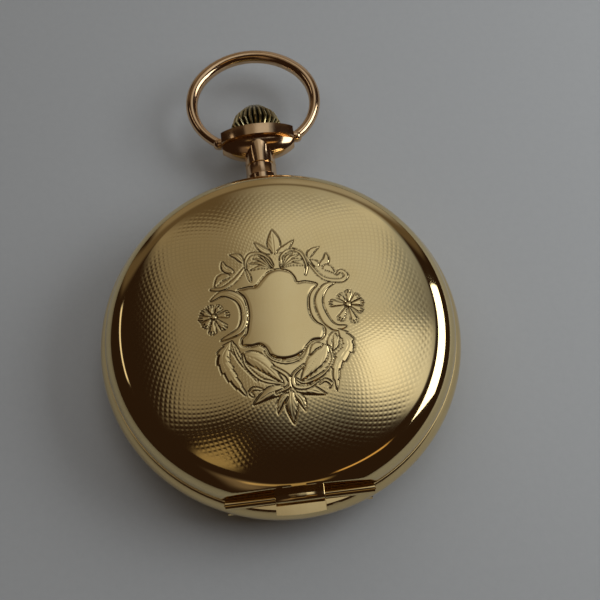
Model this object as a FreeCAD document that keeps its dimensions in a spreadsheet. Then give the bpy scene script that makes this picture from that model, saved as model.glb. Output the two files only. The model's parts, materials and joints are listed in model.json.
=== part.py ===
"""Hunter pocket watch: a gold case with two hinged covers round a lever movement.

The watch lies on its back cover: +Z points out of the front cover and +Y out through the pendant.
The origin is the middle of the flat on the back cover. A hunter dial has three o'clock at the
pendant, so twelve is at -X and the seconds dial is at +X. Everything is in millimetres.
"""

import FreeCAD
import Part
import Sketcher

import math
import os
import re

V = FreeCAD.Vector

# The driving dimensions, by the name that each has in the sheet.
SIZES = {
    # case
    "case_radius": 26.0,
    "band_edge_radius": 25.0,
    "band_low": 4.2,
    "band_high": 8.8,
    "neck_bore": 20.6,
    "neck_radius": 21.3,
    "neck_low": 3.3,
    "neck_high": 9.6,
    "ledge_height": 8.1,
    "ledge_radius": 21.0,
    "channel_inner": 22.75,
    "channel_outer": 24.15,
    "channel_floor": 7.2,
    # covers
    "cover_radius": 24.9,
    "cover_wall": 0.5,
    "cover_gap": 0.05,
    "front_top": 14.0,
    "front_dome": 190.0,
    "front_shoulder": 3.8,
    "land_radius": 9.0,
    "back_dome": 150.0,
    "back_shoulder": 2.6,
    "cuvette_radius": 21.9,
    "cuvette_wall": 0.4,
    "cuvette_low": 1.15,
    "cuvette_dome": 330.0,
    "cuvette_shoulder": 1.6,
    # hinges
    "hinge_reach": 23.4,
    "chord": 22.6,
    "knuckle_radius": 0.7,
    "hinge_pin_radius": 0.3,
    "hinge_half": 10.0,
    "front_knuckle_half": 3.3,
    "back_knuckle_half": 5.4,
    "cuvette_knuckle_half": 2.0,
    "knuckle_gap": 0.06,
    # glass
    "bezel_radius": 21.9,
    "bezel_opening": 20.0,
    "glass_radius": 20.45,
    "glass_top": 11.9,
    # pendant, crown and bow
    "stem_height": 5.9,
    "pendant_base": 25.0,
    "pendant_neck": 2.2,
    "pendant_top": 34.5,
    "bow_axis_reach": 33.7,
    "ear_reach": 5.7,
    "bow_half_width": 9.95,
    "bow_half_height": 9.0,
    "bow_wire": 1.05,
    "bow_pivot_radius": 0.55,
    "crown_base": 34.45,
    "crown_top": 39.6,
    "crown_radius": 4.1,
    "crown_foot": 3.25,
    "crown_ribs": 28,
    "stem_radius": 0.85,
    "stem_square": 1.1,
    # movement levels
    "plate_low": 6.7,
    "plate_high": 8.7,
    "plate_radius": 20.5,
    "flange_radius": 20.9,
    "work_floor": 7.6,
    "bridge_low": 2.95,
    "bridge_high": 4.05,
    "bridge_radius": 20.3,
    "foot_inner": 18.7,
    "dial_low": 8.75,
    "dial_high": 9.35,
    "dial_radius": 20.8,
    "seconds_dial_radius": 4.3,
    # train
    "barrel_angle": 150.0,
    "barrel_teeth": 90,
    "barrel_module": 0.19,
    "centre_leaves": 12,
    "centre_teeth": 80,
    "centre_module": 0.17,
    "third_leaves": 10,
    "third_teeth": 75,
    "third_module": 0.14,
    "fourth_leaves": 10,
    "fourth_teeth": 80,
    "fourth_module": 0.11,
    "escape_leaves": 8,
    "escape_teeth": 15,
    "escape_radius": 2.8,
    "seconds_reach": 9.8,
    "escape_angle": -125.0,
    "lever_angle": 235.0,
    "pallet_reach": 3.25,
    "balance_reach": 9.2,
    "balance_radius": 7.6,
    "balance_screws": 14,
    "balance_well": 8.35,
    # winding and motion work
    "winding_module": 0.25,
    "ratchet_teeth": 48,
    "crown_wheel_teeth": 42,
    "winding_pinion_teeth": 20,
    "contrate_radius": 4.75,
    "cannon_leaves": 12,
    "minute_teeth": 36,
    "minute_leaves": 10,
    "hour_teeth": 40,
    "setting_teeth": 40,
    "motion_module": 0.16,
}

doc = FreeCAD.newDocument("hunter_watch")
sheet = doc.addObject("Spreadsheet::Sheet", "Sizes")
for row, (alias, number) in enumerate(SIZES.items(), start=1):
    sheet.set(f"A{row}", alias)
    sheet.set(f"B{row}", str(number))
    sheet.setAlias(f"B{row}", alias)
doc.recompute()

nodes = []


def bind(text):
    """An expression on the sheet, from one that names its cells by alias alone."""
    return re.sub(r"[a-z][a-z_]*", lambda m: f"Sizes.{m[0]}" if m[0] in SIZES else m[0], str(text))


def size(text):
    """The number that an expression on the sheet comes to now."""
    return float(doc.getObject("Origin_mark").evalExpression(bind(text)))


doc.addObject("App::FeaturePython", "Origin_mark")


# ---- placing and joining ----

TURN = {
    "Z": FreeCAD.Rotation(),
    "X": FreeCAD.Rotation(V(0, 1, 0), 90),
    "Y": FreeCAD.Rotation(V(1, 0, 0), -90),
    "-X": FreeCAD.Rotation(V(0, 1, 0), -90),
}


def place(part, at=("0", "0", "0"), axis="Z"):
    """Stands a part at a point, with its own Z along the named axis."""
    part.Placement = FreeCAD.Placement(V(*[size(text) for text in at]), TURN[axis])
    for letter, text in zip("xyz", at):
        part.setExpression(f"Placement.Base.{letter}", bind(text))
    return part


def primitive(kind, name, at, axis, **lengths):
    part = doc.addObject(kind, name)
    for key, text in lengths.items():
        part.setExpression(key, bind(text))
    return place(part, at, axis)


def cylinder(name, radius, height, at=("0", "0", "0"), axis="Z"):
    return primitive("Part::Cylinder", name, at, axis, Radius=radius, Height=height)


def cone(name, radius, far_radius, height, at=("0", "0", "0"), axis="Z"):
    return primitive("Part::Cone", name, at, axis, Radius1=radius, Radius2=far_radius, Height=height)


def box(name, low, high):
    spans = [f"({b}) - ({a})" for a, b in zip(low, high)]
    return primitive("Part::Box", name, low, "Z", Length=spans[0], Width=spans[1], Height=spans[2])


def fuse(name, *parts):
    joined = doc.addObject("Part::MultiFuse", name)
    joined.Shapes = list(parts)
    return joined


def cut(name, base, *tools):
    made = doc.addObject("Part::Cut", name)
    made.Base = base
    made.Tool = tools[0] if len(tools) == 1 else fuse(f"{name}_tools", *tools)
    return made


def common(name, *parts):
    made = doc.addObject("Part::MultiCommon", name)
    made.Shapes = list(parts)
    return made


def group(name, parts):
    """Separate solids that share one node."""
    made = doc.addObject("Part::Compound", name)
    made.Links = list(parts)
    return made


def node(part, label=None):
    """Keeps a part as a sub-part of the watch, under its own label."""
    part.Label = label or part.Name
    nodes.append(part)
    return part


def feature(name, shape, at=("0", "0", "0")):
    """A part whose outline no sketch or primitive makes in reasonable time, such as a toothed wheel."""
    made = doc.addObject("Part::Feature", name)
    made.Shape = shape
    return place(made, at)


# ---- sketched bodies ----


def arc_between(start, end, radius, side):
    """The arc from start to end whose centre is on the named side: 1 is left of the way there."""
    along = end - start
    rise = math.sqrt(max(radius**2 - along.Length**2 / 4, 0))
    left = V(-along.y, along.x, 0).normalize()
    centre = (start + end) * 0.5 + left * (rise * side)
    first, last = (start, end) if side > 0 else (end, start)
    angles = [math.atan2(p.y - centre.y, p.x - centre.x) for p in (first, last)]
    return Part.ArcOfCircle(Part.Circle(centre, V(0, 0, 1), radius), *angles)


def outline(body, name, plane, points):
    """A closed sketch through points, each (across, up), or (across, up, radius, side) where the
    stretch that starts there is an arc. Every coordinate and radius is bound to the sheet."""
    sketch = body.newObject("Sketcher::SketchObject", name)
    role = f"{plane}_Plane"
    sketch.AttachmentSupport = [(next(f for f in body.Origin.OriginFeatures if f.Role == role), "")]
    sketch.MapMode = "FlatFace"
    at = [V(size(p[0]), size(p[1]), 0) for p in points]
    ends = []
    for i, point in enumerate(points):
        start, end = at[i], at[(i + 1) % len(at)]
        if len(point) == 2:
            sketch.addGeometry(Part.LineSegment(start, end), False)
            ends.append((1, 2))
        else:
            sketch.addGeometry(arc_between(start, end, size(point[2]), point[3]), False)
            ends.append((1, 2) if point[3] > 0 else (2, 1))
    for i, point in enumerate(points):
        following = (i + 1) % len(points)
        sketch.addConstraint(
            Sketcher.Constraint("Coincident", i, ends[i][1], following, ends[following][0])
        )
        for kind, text, value, line in (
            ("DistanceX", point[0], at[i].x, -2),
            ("DistanceY", point[1], at[i].y, -1),
        ):
            if text == "0":
                sketch.addConstraint(Sketcher.Constraint("PointOnObject", i, ends[i][0], line))
                continue
            which = sketch.addConstraint(Sketcher.Constraint(kind, -1, 1, i, ends[i][0], value))
            sketch.setExpression(f"Constraints[{which}]", bind(text))
        if len(point) > 2:
            which = sketch.addConstraint(Sketcher.Constraint("Radius", i, size(point[2])))
            sketch.setExpression(f"Constraints[{which}]", bind(point[2]))
    return sketch


def turned(name, profile, at=("0", "0", "0"), axis="Z"):
    """A lathe-turned body: a profile of (radius, height) swept round the body's own Z."""
    body = doc.addObject("PartDesign::Body", name)
    sketch = outline(body, f"{name}_profile", "XZ", profile)
    turn = body.newObject("PartDesign::Revolution", f"{name}_turn")
    turn.Profile = sketch
    turn.ReferenceAxis = (sketch, ["V_Axis"])
    turn.Angle = 360
    sketch.Visibility = False
    return place(body, at, axis)


def padded(name, points, low, high, at=("0", "0")):
    """A plate: an outline on the body's XY plane, pressed from one height to another."""
    body = doc.addObject("PartDesign::Body", name)
    sketch = outline(body, f"{name}_outline", "XY", points)
    pad = body.newObject("PartDesign::Pad", f"{name}_pad")
    pad.Profile = sketch
    pad.setExpression("Length", bind(f"({high}) - ({low})"))
    sketch.Visibility = False
    return place(body, (at[0], at[1], low))


# ---- toothed wheels, springs and small repeated things ----

# Flanks as (height from the pitch circle in modules, half thickness in tooth pitches).
WHEEL_TOOTH = ((-1.2, 0.31), (0.9, 0.11))
PINION_LEAF = ((-1.25, 0.2), (0.0, 0.17), (0.75, 0.06))


def on_circle(radius, angle):
    return V(radius * math.cos(math.radians(angle)), radius * math.sin(math.radians(angle)), 0)


def toothed(name, teeth, module, low, high, at, toward, flank=WHEEL_TOOTH, crossings=None):
    """A spur wheel that turns about Z. A wheel has a tooth, and a pinion a gap, at the angle toward.
    Crossings are the (hub radius, rim radius, spokes, spoke width) of a crossed-out wheel."""
    count = round(size(teeth))
    pitch = 360 / count
    pitch_radius = count * size(module) / 2
    first = toward + (pitch / 2 if flank is PINION_LEAF else 0)
    points = []
    for i in range(count):
        middle = first + i * pitch
        for side, steps in ((-1, flank), (1, reversed(flank))):
            for rise, half in steps:
                points.append(
                    on_circle(pitch_radius + rise * size(module), middle + side * half * pitch)
                )
    height = size(f"({high}) - ({low})")
    wheel = Part.Face(Part.makePolygon(points + points[:1])).extrude(V(0, 0, height))
    if crossings:
        wheel = wheel.cut(spoke_windows(height, *crossings))
    return feature(name, wheel, (at[0], at[1], low))


def spoke_windows(height, hub_radius, rim_radius, spokes, width):
    """What is cut away between the hub, the rim and the spokes of a wheel."""
    windows = Part.makeCylinder(rim_radius, height).cut(Part.makeCylinder(hub_radius, height))
    for i in range(spokes):
        spoke = Part.makeBox(rim_radius + 1, width, height, V(0, -width / 2, 0))
        spoke.rotate(V(0, 0, 0), V(0, 0, 1), i * 360 / spokes)
        windows = windows.cut(spoke)
    return windows


def spiral(name, first_radius, step, thickness, half_turns, low, high, at):
    """A flat spring: a strip wound in half turns, each centred so that it starts where the last one
    ends and stands half a step further out."""
    first_radius, step, thickness = size(first_radius), size(step), size(thickness)
    inner, outer = [], []
    for k in range(half_turns):
        centre = V(step / 2 if k % 2 else 0, 0, 0)
        start = 180 * (k % 2)
        for edges, radius in (
            (inner, first_radius + k * step / 2),
            (outer, first_radius + thickness + k * step / 2),
        ):
            ends = [centre + on_circle(radius, start + turn) for turn in (0, 90, 180)]
            edges.append(Part.Arc(*ends).toShape())
    caps = [
        Part.makeLine(inner[i].Vertexes[v].Point, outer[i].Vertexes[v].Point)
        for i, v in ((0, 0), (-1, 1))
    ]
    strip = Part.Face(Part.Wire(Part.__sortEdges__(inner + outer + caps)))
    return feature(name, strip.extrude(V(0, 0, size(f"({high}) - ({low})"))), (at[0], at[1], low))


def ring(name, outer, inner, low, high, at=("0", "0")):
    height = f"({high}) - ({low})"
    disc = cylinder(f"{name}_disc", outer, height, (at[0], at[1], low))
    hole = cylinder(f"{name}_hole", inner, f"{height} + 2", (at[0], at[1], f"({low}) - 1"))
    return cut(name, disc, hole)


def polar(radius, angle, origin=("0", "0")):
    return (
        f"{origin[0]} + ({radius}) * cos({angle})",
        f"{origin[1]} + ({radius}) * sin({angle})",
    )


def slotted_screw(name, radius, low, high, at, slot_low=True):
    """A cheese-head screw seen from its slot; its thread is in the plate and not modelled."""
    head = cylinder(f"{name}_head", radius, f"({high}) - ({low})", (at[0], at[1], low))
    depth = f"(({high}) - ({low})) * 0.4"
    slot_at = f"({low}) - 0.1" if slot_low else f"({high}) - ({depth})"
    slot = box(
        f"{name}_slot",
        (f"{at[0]} - ({radius})", f"{at[1]} - ({radius}) * 0.12", slot_at),
        (f"{at[0]} + ({radius})", f"{at[1]} + ({radius}) * 0.12", f"{slot_at} + {depth} + 0.1"),
    )
    return cut(name, head, slot)


# ---- where the arbors stand ----

BARREL_REACH = "(barrel_teeth + centre_leaves) * barrel_module / 2"
THIRD_REACH = "(centre_teeth + third_leaves) * centre_module / 2"
THIRD_TO_FOURTH = "(third_teeth + fourth_leaves) * third_module / 2"
THIRD_X = f"((({THIRD_REACH})^2 - ({THIRD_TO_FOURTH})^2 + seconds_reach^2) / (2 * seconds_reach))"
ESCAPE_REACH = "(fourth_teeth + escape_leaves) * fourth_module / 2"
WINDING_REACH = "(ratchet_teeth + crown_wheel_teeth) * winding_module / 2"
MINUTE_REACH = "(cannon_leaves + minute_teeth) * motion_module / 2"
SETTING_REACH = "(minute_teeth + setting_teeth) * motion_module / 2"
HOUR_MODULE = f"({MINUTE_REACH}) * 2 / (minute_leaves + hour_teeth)"

CENTRE = ("0", "0")
BARREL = polar(BARREL_REACH, "barrel_angle")
THIRD = (THIRD_X, f"sqrt(({THIRD_REACH})^2 - {THIRD_X}^2)")
FOURTH = ("seconds_reach", "0")
ESCAPE = polar(ESCAPE_REACH, "escape_angle", FOURTH)
PALLET = polar("pallet_reach", "lever_angle", ESCAPE)
BALANCE = polar("balance_reach", "lever_angle", ESCAPE)
CROWN_WHEEL = ("0", f"({BARREL[1]} + sqrt(({WINDING_REACH})^2 - ({BARREL[0]})^2))")
MINUTE = ("0", f"({MINUTE_REACH})")
SETTING = ("0", f"({MINUTE_REACH} + {SETTING_REACH})")


def bearing(start, end):
    """The angle of the way from one arbor to another."""
    across, up = (size(f"({b}) - ({a})") for a, b in zip(start, end))
    return math.degrees(math.atan2(up, across))


# ---- case ----

SHOULDER_REACH = "(cover_radius - front_shoulder)"
FRONT_CENTRE = "(front_top - front_dome)"
FRONT_SHOULDER_Z = (
    f"({FRONT_CENTRE} + sqrt((front_dome - front_shoulder)^2 - {SHOULDER_REACH}^2))"
)
BAND_ARC = (
    "((band_high - band_low)^2 / 4 + (case_radius - band_edge_radius)^2)"
    " / (2 * (case_radius - band_edge_radius))"
)
FRONT_RIM = "(band_high + cover_gap)"
BACK_RIM = "(band_low - cover_gap)"
HINGE_WALL = "(chord - cover_wall)"


def front_bulk(name, wall):
    """What the front cover holds, and the cover itself where wall is 0: a dome over a round shoulder."""
    dome, shoulder = f"(front_dome - {wall})", f"(front_shoulder - {wall})"
    share = f"{dome} / (front_dome - front_shoulder)"
    profile = [
        ("0", FRONT_RIM),
        (f"cover_radius - {wall}", FRONT_RIM),
        (f"cover_radius - {wall}", FRONT_SHOULDER_Z, shoulder, 1),
        (
            f"{SHOULDER_REACH} * {share}",
            f"{FRONT_CENTRE} + ({FRONT_SHOULDER_Z} - {FRONT_CENTRE}) * {share}",
            dome,
            1,
        ),
        ("0", f"front_top - {wall}"),
    ]
    return turned(name, profile)


def back_bulk(name, wall, radius, low, dome, shoulder, land):
    """A cover that bellies down: a dome cut off flat within the land's radius, and a round shoulder."""
    centre = f"({low} + sqrt({dome}^2 - {land}^2))"
    reach = f"({radius} - {shoulder})"
    shoulder_z = f"({centre} - sqrt(({dome} - {shoulder})^2 - {reach}^2))"
    share = f"({dome} - {wall}) / ({dome} - {shoulder})"
    floor = f"({low} + {wall})"
    flat = f"sqrt(({dome} - {wall})^2 - ({centre} - {floor})^2)" if land != "0" else "0"
    profile = [
        ("0", BACK_RIM),
        ("0", floor),
        (flat, floor, f"{dome} - {wall}", 1),
        (f"{reach} * {share}", f"{centre} + ({shoulder_z} - {centre}) * {share}")
        + (f"{shoulder} - {wall}", 1),
        (f"{radius} - {wall}", shoulder_z),
        (f"{radius} - {wall}", BACK_RIM),
    ]
    if land == "0":
        profile = [profile[0], ("0", floor, f"{dome} - {wall}", 1)] + profile[3:]
    return turned(name, profile)


def ahead_of(name, reach, low, high):
    """Everything on the pendant's side of a chord at the hinge."""
    return box(
        name, ("-case_radius", f"-({reach})", low), ("case_radius", "case_radius", high)
    )


def knuckle(name, start, end, level):
    at = (start, "-hinge_reach", level)
    tube = cylinder(f"{name}_tube", "knuckle_radius", f"({end}) - ({start})", at, "X")
    return tube


def pin_hole(name, level):
    return cylinder(
        name,
        "hinge_pin_radius + 0.02",
        "2 * hinge_half + 2",
        ("-hinge_half - 1", "-hinge_reach", level),
        "X",
    )


def hinged(name, shell, knuckles, level):
    """A cover with its knuckles, bored for the hinge pin."""
    return cut(name, fuse(f"{name}_solid", shell, *knuckles), pin_hole(f"{name}_bore", level))


def make_front_cover():
    outside = common(
        "lid_outside",
        front_bulk("lid_bulk", "0"),
        ahead_of("lid_chord", "chord", "0", "front_top + 1"),
    )
    inside = common(
        "lid_inside",
        front_bulk("lid_hollow", "cover_wall"),
        ahead_of("lid_inner_chord", HINGE_WALL, "0", "front_top + 1"),
    )
    shell = cut("lid_shell", outside, inside)
    web = box(
        "lid_web",
        ("-front_knuckle_half", "-hinge_reach", FRONT_RIM),
        ("front_knuckle_half", f"-({HINGE_WALL}) - 0.1", "band_high + knuckle_radius"),
    )
    barrel = knuckle("lid_knuckle", "-front_knuckle_half", "front_knuckle_half", "band_high")
    node(hinged("front_cover", shell, [web, barrel], "band_high"))


def back_shell(name, wall):
    return back_bulk(name, wall, "cover_radius", "0", "back_dome", "back_shoulder", "land_radius")


def make_back_cover():
    outside = common(
        "back_outside",
        back_shell("back_bulk", "0"),
        ahead_of("back_chord", "chord", "-1", "band_high"),
    )
    inside = common(
        "back_inside",
        back_shell("back_hollow", "cover_wall"),
        ahead_of("back_inner_chord", HINGE_WALL, "-1", "band_high"),
    )
    shell = cut("back_whole_shell", outside, inside)
    gate = box(
        "back_gate",
        ("-cuvette_knuckle_half - 0.15", "-chord - 1", "band_low - 1.1"),
        ("cuvette_knuckle_half + 0.15", f"-({HINGE_WALL}) + 0.2", "band_low + 1"),
    )
    inner, outer = "cuvette_knuckle_half + 0.3", "back_knuckle_half"
    pieces = []
    for side, start, end in (("left", f"-({outer})", f"-({inner})"), ("right", inner, outer)):
        pieces.append(knuckle(f"back_knuckle_{side}", start, end, "band_low"))
        low = (start, "-hinge_reach", "band_low - knuckle_radius")
        pieces.append(box(f"back_web_{side}", low, (end, f"-({HINGE_WALL}) - 0.1", BACK_RIM)))
    node(hinged("back_cover", cut("back_shell", shell, gate), pieces, "band_low"))


def cuvette_shell(name, wall):
    return back_bulk(
        name, wall, "cuvette_radius", "cuvette_low", "cuvette_dome", "cuvette_shoulder", "0"
    )


def make_cuvette():
    shell = cut(
        "cuvette_shell",
        cuvette_shell("cuvette_bulk", "0"),
        cuvette_shell("cuvette_hollow", "cuvette_wall"),
    )
    half = "cuvette_knuckle_half"
    web = box(
        "cuvette_web",
        (f"-{half}", "-hinge_reach", "band_low - knuckle_radius"),
        (half, "-cuvette_radius + 0.15", BACK_RIM),
    )
    barrel = knuckle("cuvette_knuckle", f"-{half}", half, "band_low")
    node(hinged("cuvette", shell, [web, barrel], "band_low"))


def band_bulk(name, grow="0"):
    """The outside of the middle, as a solid disc with a barrelled edge."""
    profile = [
        ("0", f"band_low - ({grow})"),
        (f"band_edge_radius + ({grow})", f"band_low - ({grow})", f"{BAND_ARC} + ({grow})", 1),
        (f"band_edge_radius + ({grow})", f"band_high + ({grow})"),
        ("0", f"band_high + ({grow})"),
    ]
    return turned(name, profile)


def make_case_middle():
    necks = ring("case_necks", "neck_radius", "neck_bore", "neck_low", "neck_high")
    metal = fuse("case_metal", band_bulk("case_band"), necks)
    bore = cylinder("case_bore", "neck_bore", "neck_high", ("0", "0", "0"))
    seat = cylinder("case_seat", "ledge_radius", "neck_high", ("0", "0", "ledge_height"))
    channel = common(
        "case_channel",
        ring("case_channel_ring", "channel_outer", "channel_inner", "channel_floor", "neck_high"),
        box("case_channel_reach", ("-case_radius", "-14", "0"), ("case_radius",) * 2 + ("front_top",)),
    )
    catch_seat = box("case_catch_seat", ("-1.5", "22.2", "channel_floor"), ("1.5", "23.2", "neck_high"))
    stem_bore = cylinder(
        "case_stem_bore", "pendant_neck - 0.93", "10", ("0", "19", "stem_height"), "Y"
    )
    troughs = []
    for name, half, low, high in (
        ("front", "front_knuckle_half + knuckle_gap", "band_high - 0.78", "band_high + 1"),
        ("back", "back_knuckle_half + knuckle_gap", "band_low - 1", "band_low + 0.78"),
    ):
        start = (f"-({half})", "-case_radius - 1", low)
        troughs.append(box(f"case_trough_{name}", start, (half, "-hinge_reach + 0.82", high)))
    hollow = cut("case_hollow", metal, bore, seat, channel, catch_seat, stem_bore, *troughs)
    ears = []
    for level, half in (("band_high", "front_knuckle_half"), ("band_low", "back_knuckle_half")):
        inner = f"{half} + knuckle_gap"
        ears.append(knuckle(f"case_{level}_left", "-hinge_half", f"-({inner})", level))
        ears.append(knuckle(f"case_{level}_right", inner, "hinge_half", level))
    solid = fuse("case_solid", hollow, *ears)
    holes = [pin_hole(f"case_bore_{level}", level) for level in ("band_high", "band_low")]
    node(cut("case_middle", solid, *holes))


def make_hinge_pins():
    pins = []
    for name, level in (("front_pin", "band_high"), ("back_pin", "band_low")):
        at = ("-hinge_half - 0.15", "-hinge_reach", level)
        pins.append(cylinder(name, "hinge_pin_radius", "2 * hinge_half + 0.3", at, "X"))
    node(group("hinge_pins", pins))


def channel_strip(name, start, sweep, foot):
    """A curved spring that lies in the case's channel, with a foot where it is screwed down."""
    inner, outer = size("channel_inner") + 0.15, size("channel_inner") + 0.6
    height = size("band_high - channel_floor") - 0.2
    strip = Part.makeCylinder(outer, height, V(), V(0, 0, 1), sweep)
    strip.rotate(V(), V(0, 0, 1), start)
    block = Part.makeCylinder(outer + 0.45, height, V(), V(0, 0, 1), 7)
    block.rotate(V(), V(0, 0, 1), start + foot)
    whole = strip.fuse(block).cut(Part.makeCylinder(inner, height)).removeSplitter()
    return node(feature(name, whole, ("0", "0", "channel_floor + 0.05")))


def make_lid_springs():
    channel_strip("lid_lift_spring", 12, 60, 0)
    channel_strip("lid_lock_spring", 98, 62, 55)


def make_lid_catch():
    low = ("-1.2", "channel_inner + 0.15", "channel_floor + 0.06")
    block = box("catch_block", low, ("1.2", "channel_inner + 0.75", "band_high + 0.55"))
    nib_low = ("-0.8", "channel_inner + 0.75", "band_high + 0.25")
    nib = box("catch_nib", nib_low, ("0.8", "channel_inner + 1.15", "band_high + 0.55"))
    node(fuse("lid_catch", block, nib))


def make_bezel_and_glass():
    fit = "neck_radius + 0.04"
    seat = "glass_radius + 0.04"
    profile = [
        ("bezel_opening", "neck_high + 0.04"),
        (fit, "neck_high + 0.04"),
        (fit, "band_high + 0.04"),
        ("bezel_radius", "band_high + 0.04"),
        ("bezel_radius", "neck_high + 0.5", "1.1", 1),
        ("bezel_radius - 0.95", "neck_high + 1.3"),
        (seat, "neck_high + 1.3"),
        (seat, "neck_high + 0.35"),
        ("bezel_opening", "neck_high + 0.35"),
    ]
    node(turned("bezel", profile))
    under, thick = "neck_high + 0.38", "0.75"
    rise = f"(glass_top - ({under}) - {thick})"
    curve = f"(glass_radius^2 + {rise}^2) / (2 * {rise})"
    profile = [
        ("0", f"glass_top - {thick}", curve, -1),
        ("glass_radius", under),
        ("glass_radius", f"{under} + {thick}", curve, 1),
        ("0", "glass_top"),
    ]
    node(turned("crystal", profile))


def boat(name, across, along, deep):
    """An ellipsoid about the bow's axis, from its three half sizes."""
    at = ("0", "bow_axis_reach", "stem_height")
    return primitive("Part::Ellipsoid", name, at, "Z", Radius1=deep, Radius2=across, Radius3=along)


def make_pendant():
    """A neck under a boat-shaped head, with a flat band round its top and a seat for the crown."""
    top = "pendant_top"
    neck = "pendant_neck"
    profile = [
        ("stem_radius + 0.1", "20.75"),
        (f"{neck} - 0.95", "20.75"),
        (f"{neck} - 0.95", "pendant_base"),
        ("2.65", "pendant_base"),
        ("2.65", "pendant_base + 1.5", "0.3", -1),
        ("2.4", "pendant_base + 1.75"),
        ("2.4", "pendant_base + 3.3"),
        (neck, "pendant_base + 3.45"),
        (neck, "pendant_base + 3.6"),
        ("2.4", "pendant_base + 3.75"),
        ("2.4", f"{top} - 1.5"),
        ("stem_radius + 0.55", f"{top} - 1.5"),
        ("stem_radius + 0.55", "26.4"),
        ("stem_radius + 0.1", "26.4"),
    ]
    body = turned("pendant_stem", profile, ("0", "0", "stem_height"), "Y")
    low, high = ("-ear_reach", "26.5", "0"), ("ear_reach", top, "front_top")
    belly = common("pendant_belly", boat("pendant_hull", "6.5", "3.7", "2.6"),
                   box("pendant_hull_limits", low, high))
    band = common("pendant_band", boat("pendant_rail", "6.7", "9", "3.75"),
                  box("pendant_rail_limits", (low[0], f"{top} - 1.75", low[2]), high))
    way = cylinder("pendant_way", "stem_radius + 0.55", "20", ("0", "24", "stem_height"), "Y")
    seat = cylinder(
        "pendant_crown_seat", "crown_foot + 0.1", "2", ("0", f"{top} - 0.6", "stem_height"), "Y"
    )
    head = cut("pendant_bored_head", fuse("pendant_head", belly, band), way, seat)
    whole = fuse("pendant_whole", body, head)
    holes = []
    for axis, sign in (("X", ""), ("-X", "-")):
        at = (f"{sign}(ear_reach - 1.3)", "bow_axis_reach", "stem_height")
        holes.append(cylinder(f"pendant_bow_hole_{axis[0]}{len(holes)}",
                              "bow_pivot_radius + 0.03", "2", at, axis))
    node(cut("pendant", whole, band_bulk_less_bore(), *holes))


def band_bulk_less_bore():
    """The case's band as it meets the pendant's foot: the foot is filed to it, but the spigot passes."""
    spigot = cylinder("spigot_way", "pendant_neck - 0.94", "12", ("0", "18", "stem_height"), "Y")
    return cut("band_round_spigot", band_bulk("band_for_pendant", "0.01"), spigot)


def bend(name, centre, radius, start, sweep):
    """A bent stretch of the bow's wire in the plane of the bow."""
    arc = doc.addObject("Part::Torus", name)
    arc.setExpression("Radius1", bind(radius))
    arc.setExpression("Radius2", "Sizes.bow_wire")
    arc.Angle3 = sweep
    turn = FreeCAD.Rotation(V(0, 0, 1), start)
    arc.Placement = FreeCAD.Placement(V(*[size(text) for text in centre]), turn)
    for letter, text in zip("xyz", centre):
        arc.setExpression(f"Placement.Base.{letter}", bind(text))
    return arc


def make_bow():
    """An oval of three arcs whose ends stand against the pendant's ears on two short pivots."""
    side = "(bow_half_height - 0.7)"
    shift = f"(bow_half_width - {side})"
    drop = f"(({shift}^2 - 0.49) / 1.4)"
    middle = "(bow_axis_reach + 7.1)"
    spread = math.degrees(math.atan2(size(shift), size(drop)))
    lower = math.degrees(math.asin(size(f"(7.1 - 0.35) / {side}")))
    top = bend("bow_top", ("0", f"{middle} - {drop}", "stem_height"),
               f"bow_half_height + {drop}", 90 - spread, 2 * spread)
    right = bend("bow_right", (shift, middle, "stem_height"), side, -lower, 90 - spread + lower)
    left = bend("bow_left", (f"-{shift}", middle, "stem_height"), side, 90 + spread,
                90 - spread + lower)
    parts = [top, right, left]
    for axis, sign in (("X", ""), ("-X", "-")):
        face = (f"{sign}(ear_reach + 0.06)", "bow_axis_reach", "stem_height")
        parts.append(cone(f"bow_end_{len(parts)}", "0.95", "1.05", "1.0", face, axis))
        pivot = (f"{sign}(ear_reach - 1.1)", "bow_axis_reach", "stem_height")
        parts.append(cylinder(f"bow_pivot_{len(parts)}", "bow_pivot_radius", "1.4", pivot, axis))
    node(fuse("bow", *parts))


def make_crown():
    profile = [
        ("stem_radius + 0.02", "crown_base"),
        ("crown_foot", "crown_base"),
        ("crown_foot", "crown_base + 0.62", "1.4", 1),
        ("crown_radius", "crown_base + 1.6", "6.0", 1),
        ("1.6", "crown_top - 0.2"),
        ("1.2", "crown_top"),
        ("0", "crown_top"),
        ("0", "crown_top - 1.7"),
        ("stem_radius + 0.02", "crown_top - 1.7"),
    ]
    blank = turned("crown_blank", profile, ("0", "0", "stem_height"), "Y")
    flutes = []
    count = round(size("crown_ribs"))
    for i in range(count):
        angle = 360 * i / count
        flute = doc.addObject("Part::Box", f"crown_flute_{i}")
        flute.Length, flute.Width, flute.Height = 0.9, 6.5, 0.9
        edge = on_circle(size("crown_radius") - 0.39, angle)
        flute.Placement = FreeCAD.Placement(
            V(edge.x, size("crown_base") - 1, size("stem_height") + edge.y),
            FreeCAD.Rotation(V(0, 1, 0), 45 - angle),
        )
        flutes.append(flute)
    node(cut("crown", blank, *flutes))


def make_winding_stem():
    end = "crown_top - 1.75"
    round_part = cylinder(
        "stem_round", "stem_radius", f"{end} - 18.7", ("0", "18.7", "stem_height"), "Y"
    )
    groove = cylinder("stem_neck", "0.5", "1", ("0", "17.8", "stem_height"), "Y")
    through = cylinder("stem_through", "stem_radius", "1.2", ("0", "16.7", "stem_height"), "Y")
    half = "stem_square / 2"
    square = box(
        "stem_square_part",
        (f"-{half}", "11.6", f"stem_height - {half}"),
        (half, "16.8", f"stem_height + {half}"),
    )
    tip = cylinder("stem_tip", "0.4", "1.8", ("0", "9.9", "stem_height"), "Y")
    node(fuse("winding_stem", round_part, groove, through, square, tip))


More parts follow.
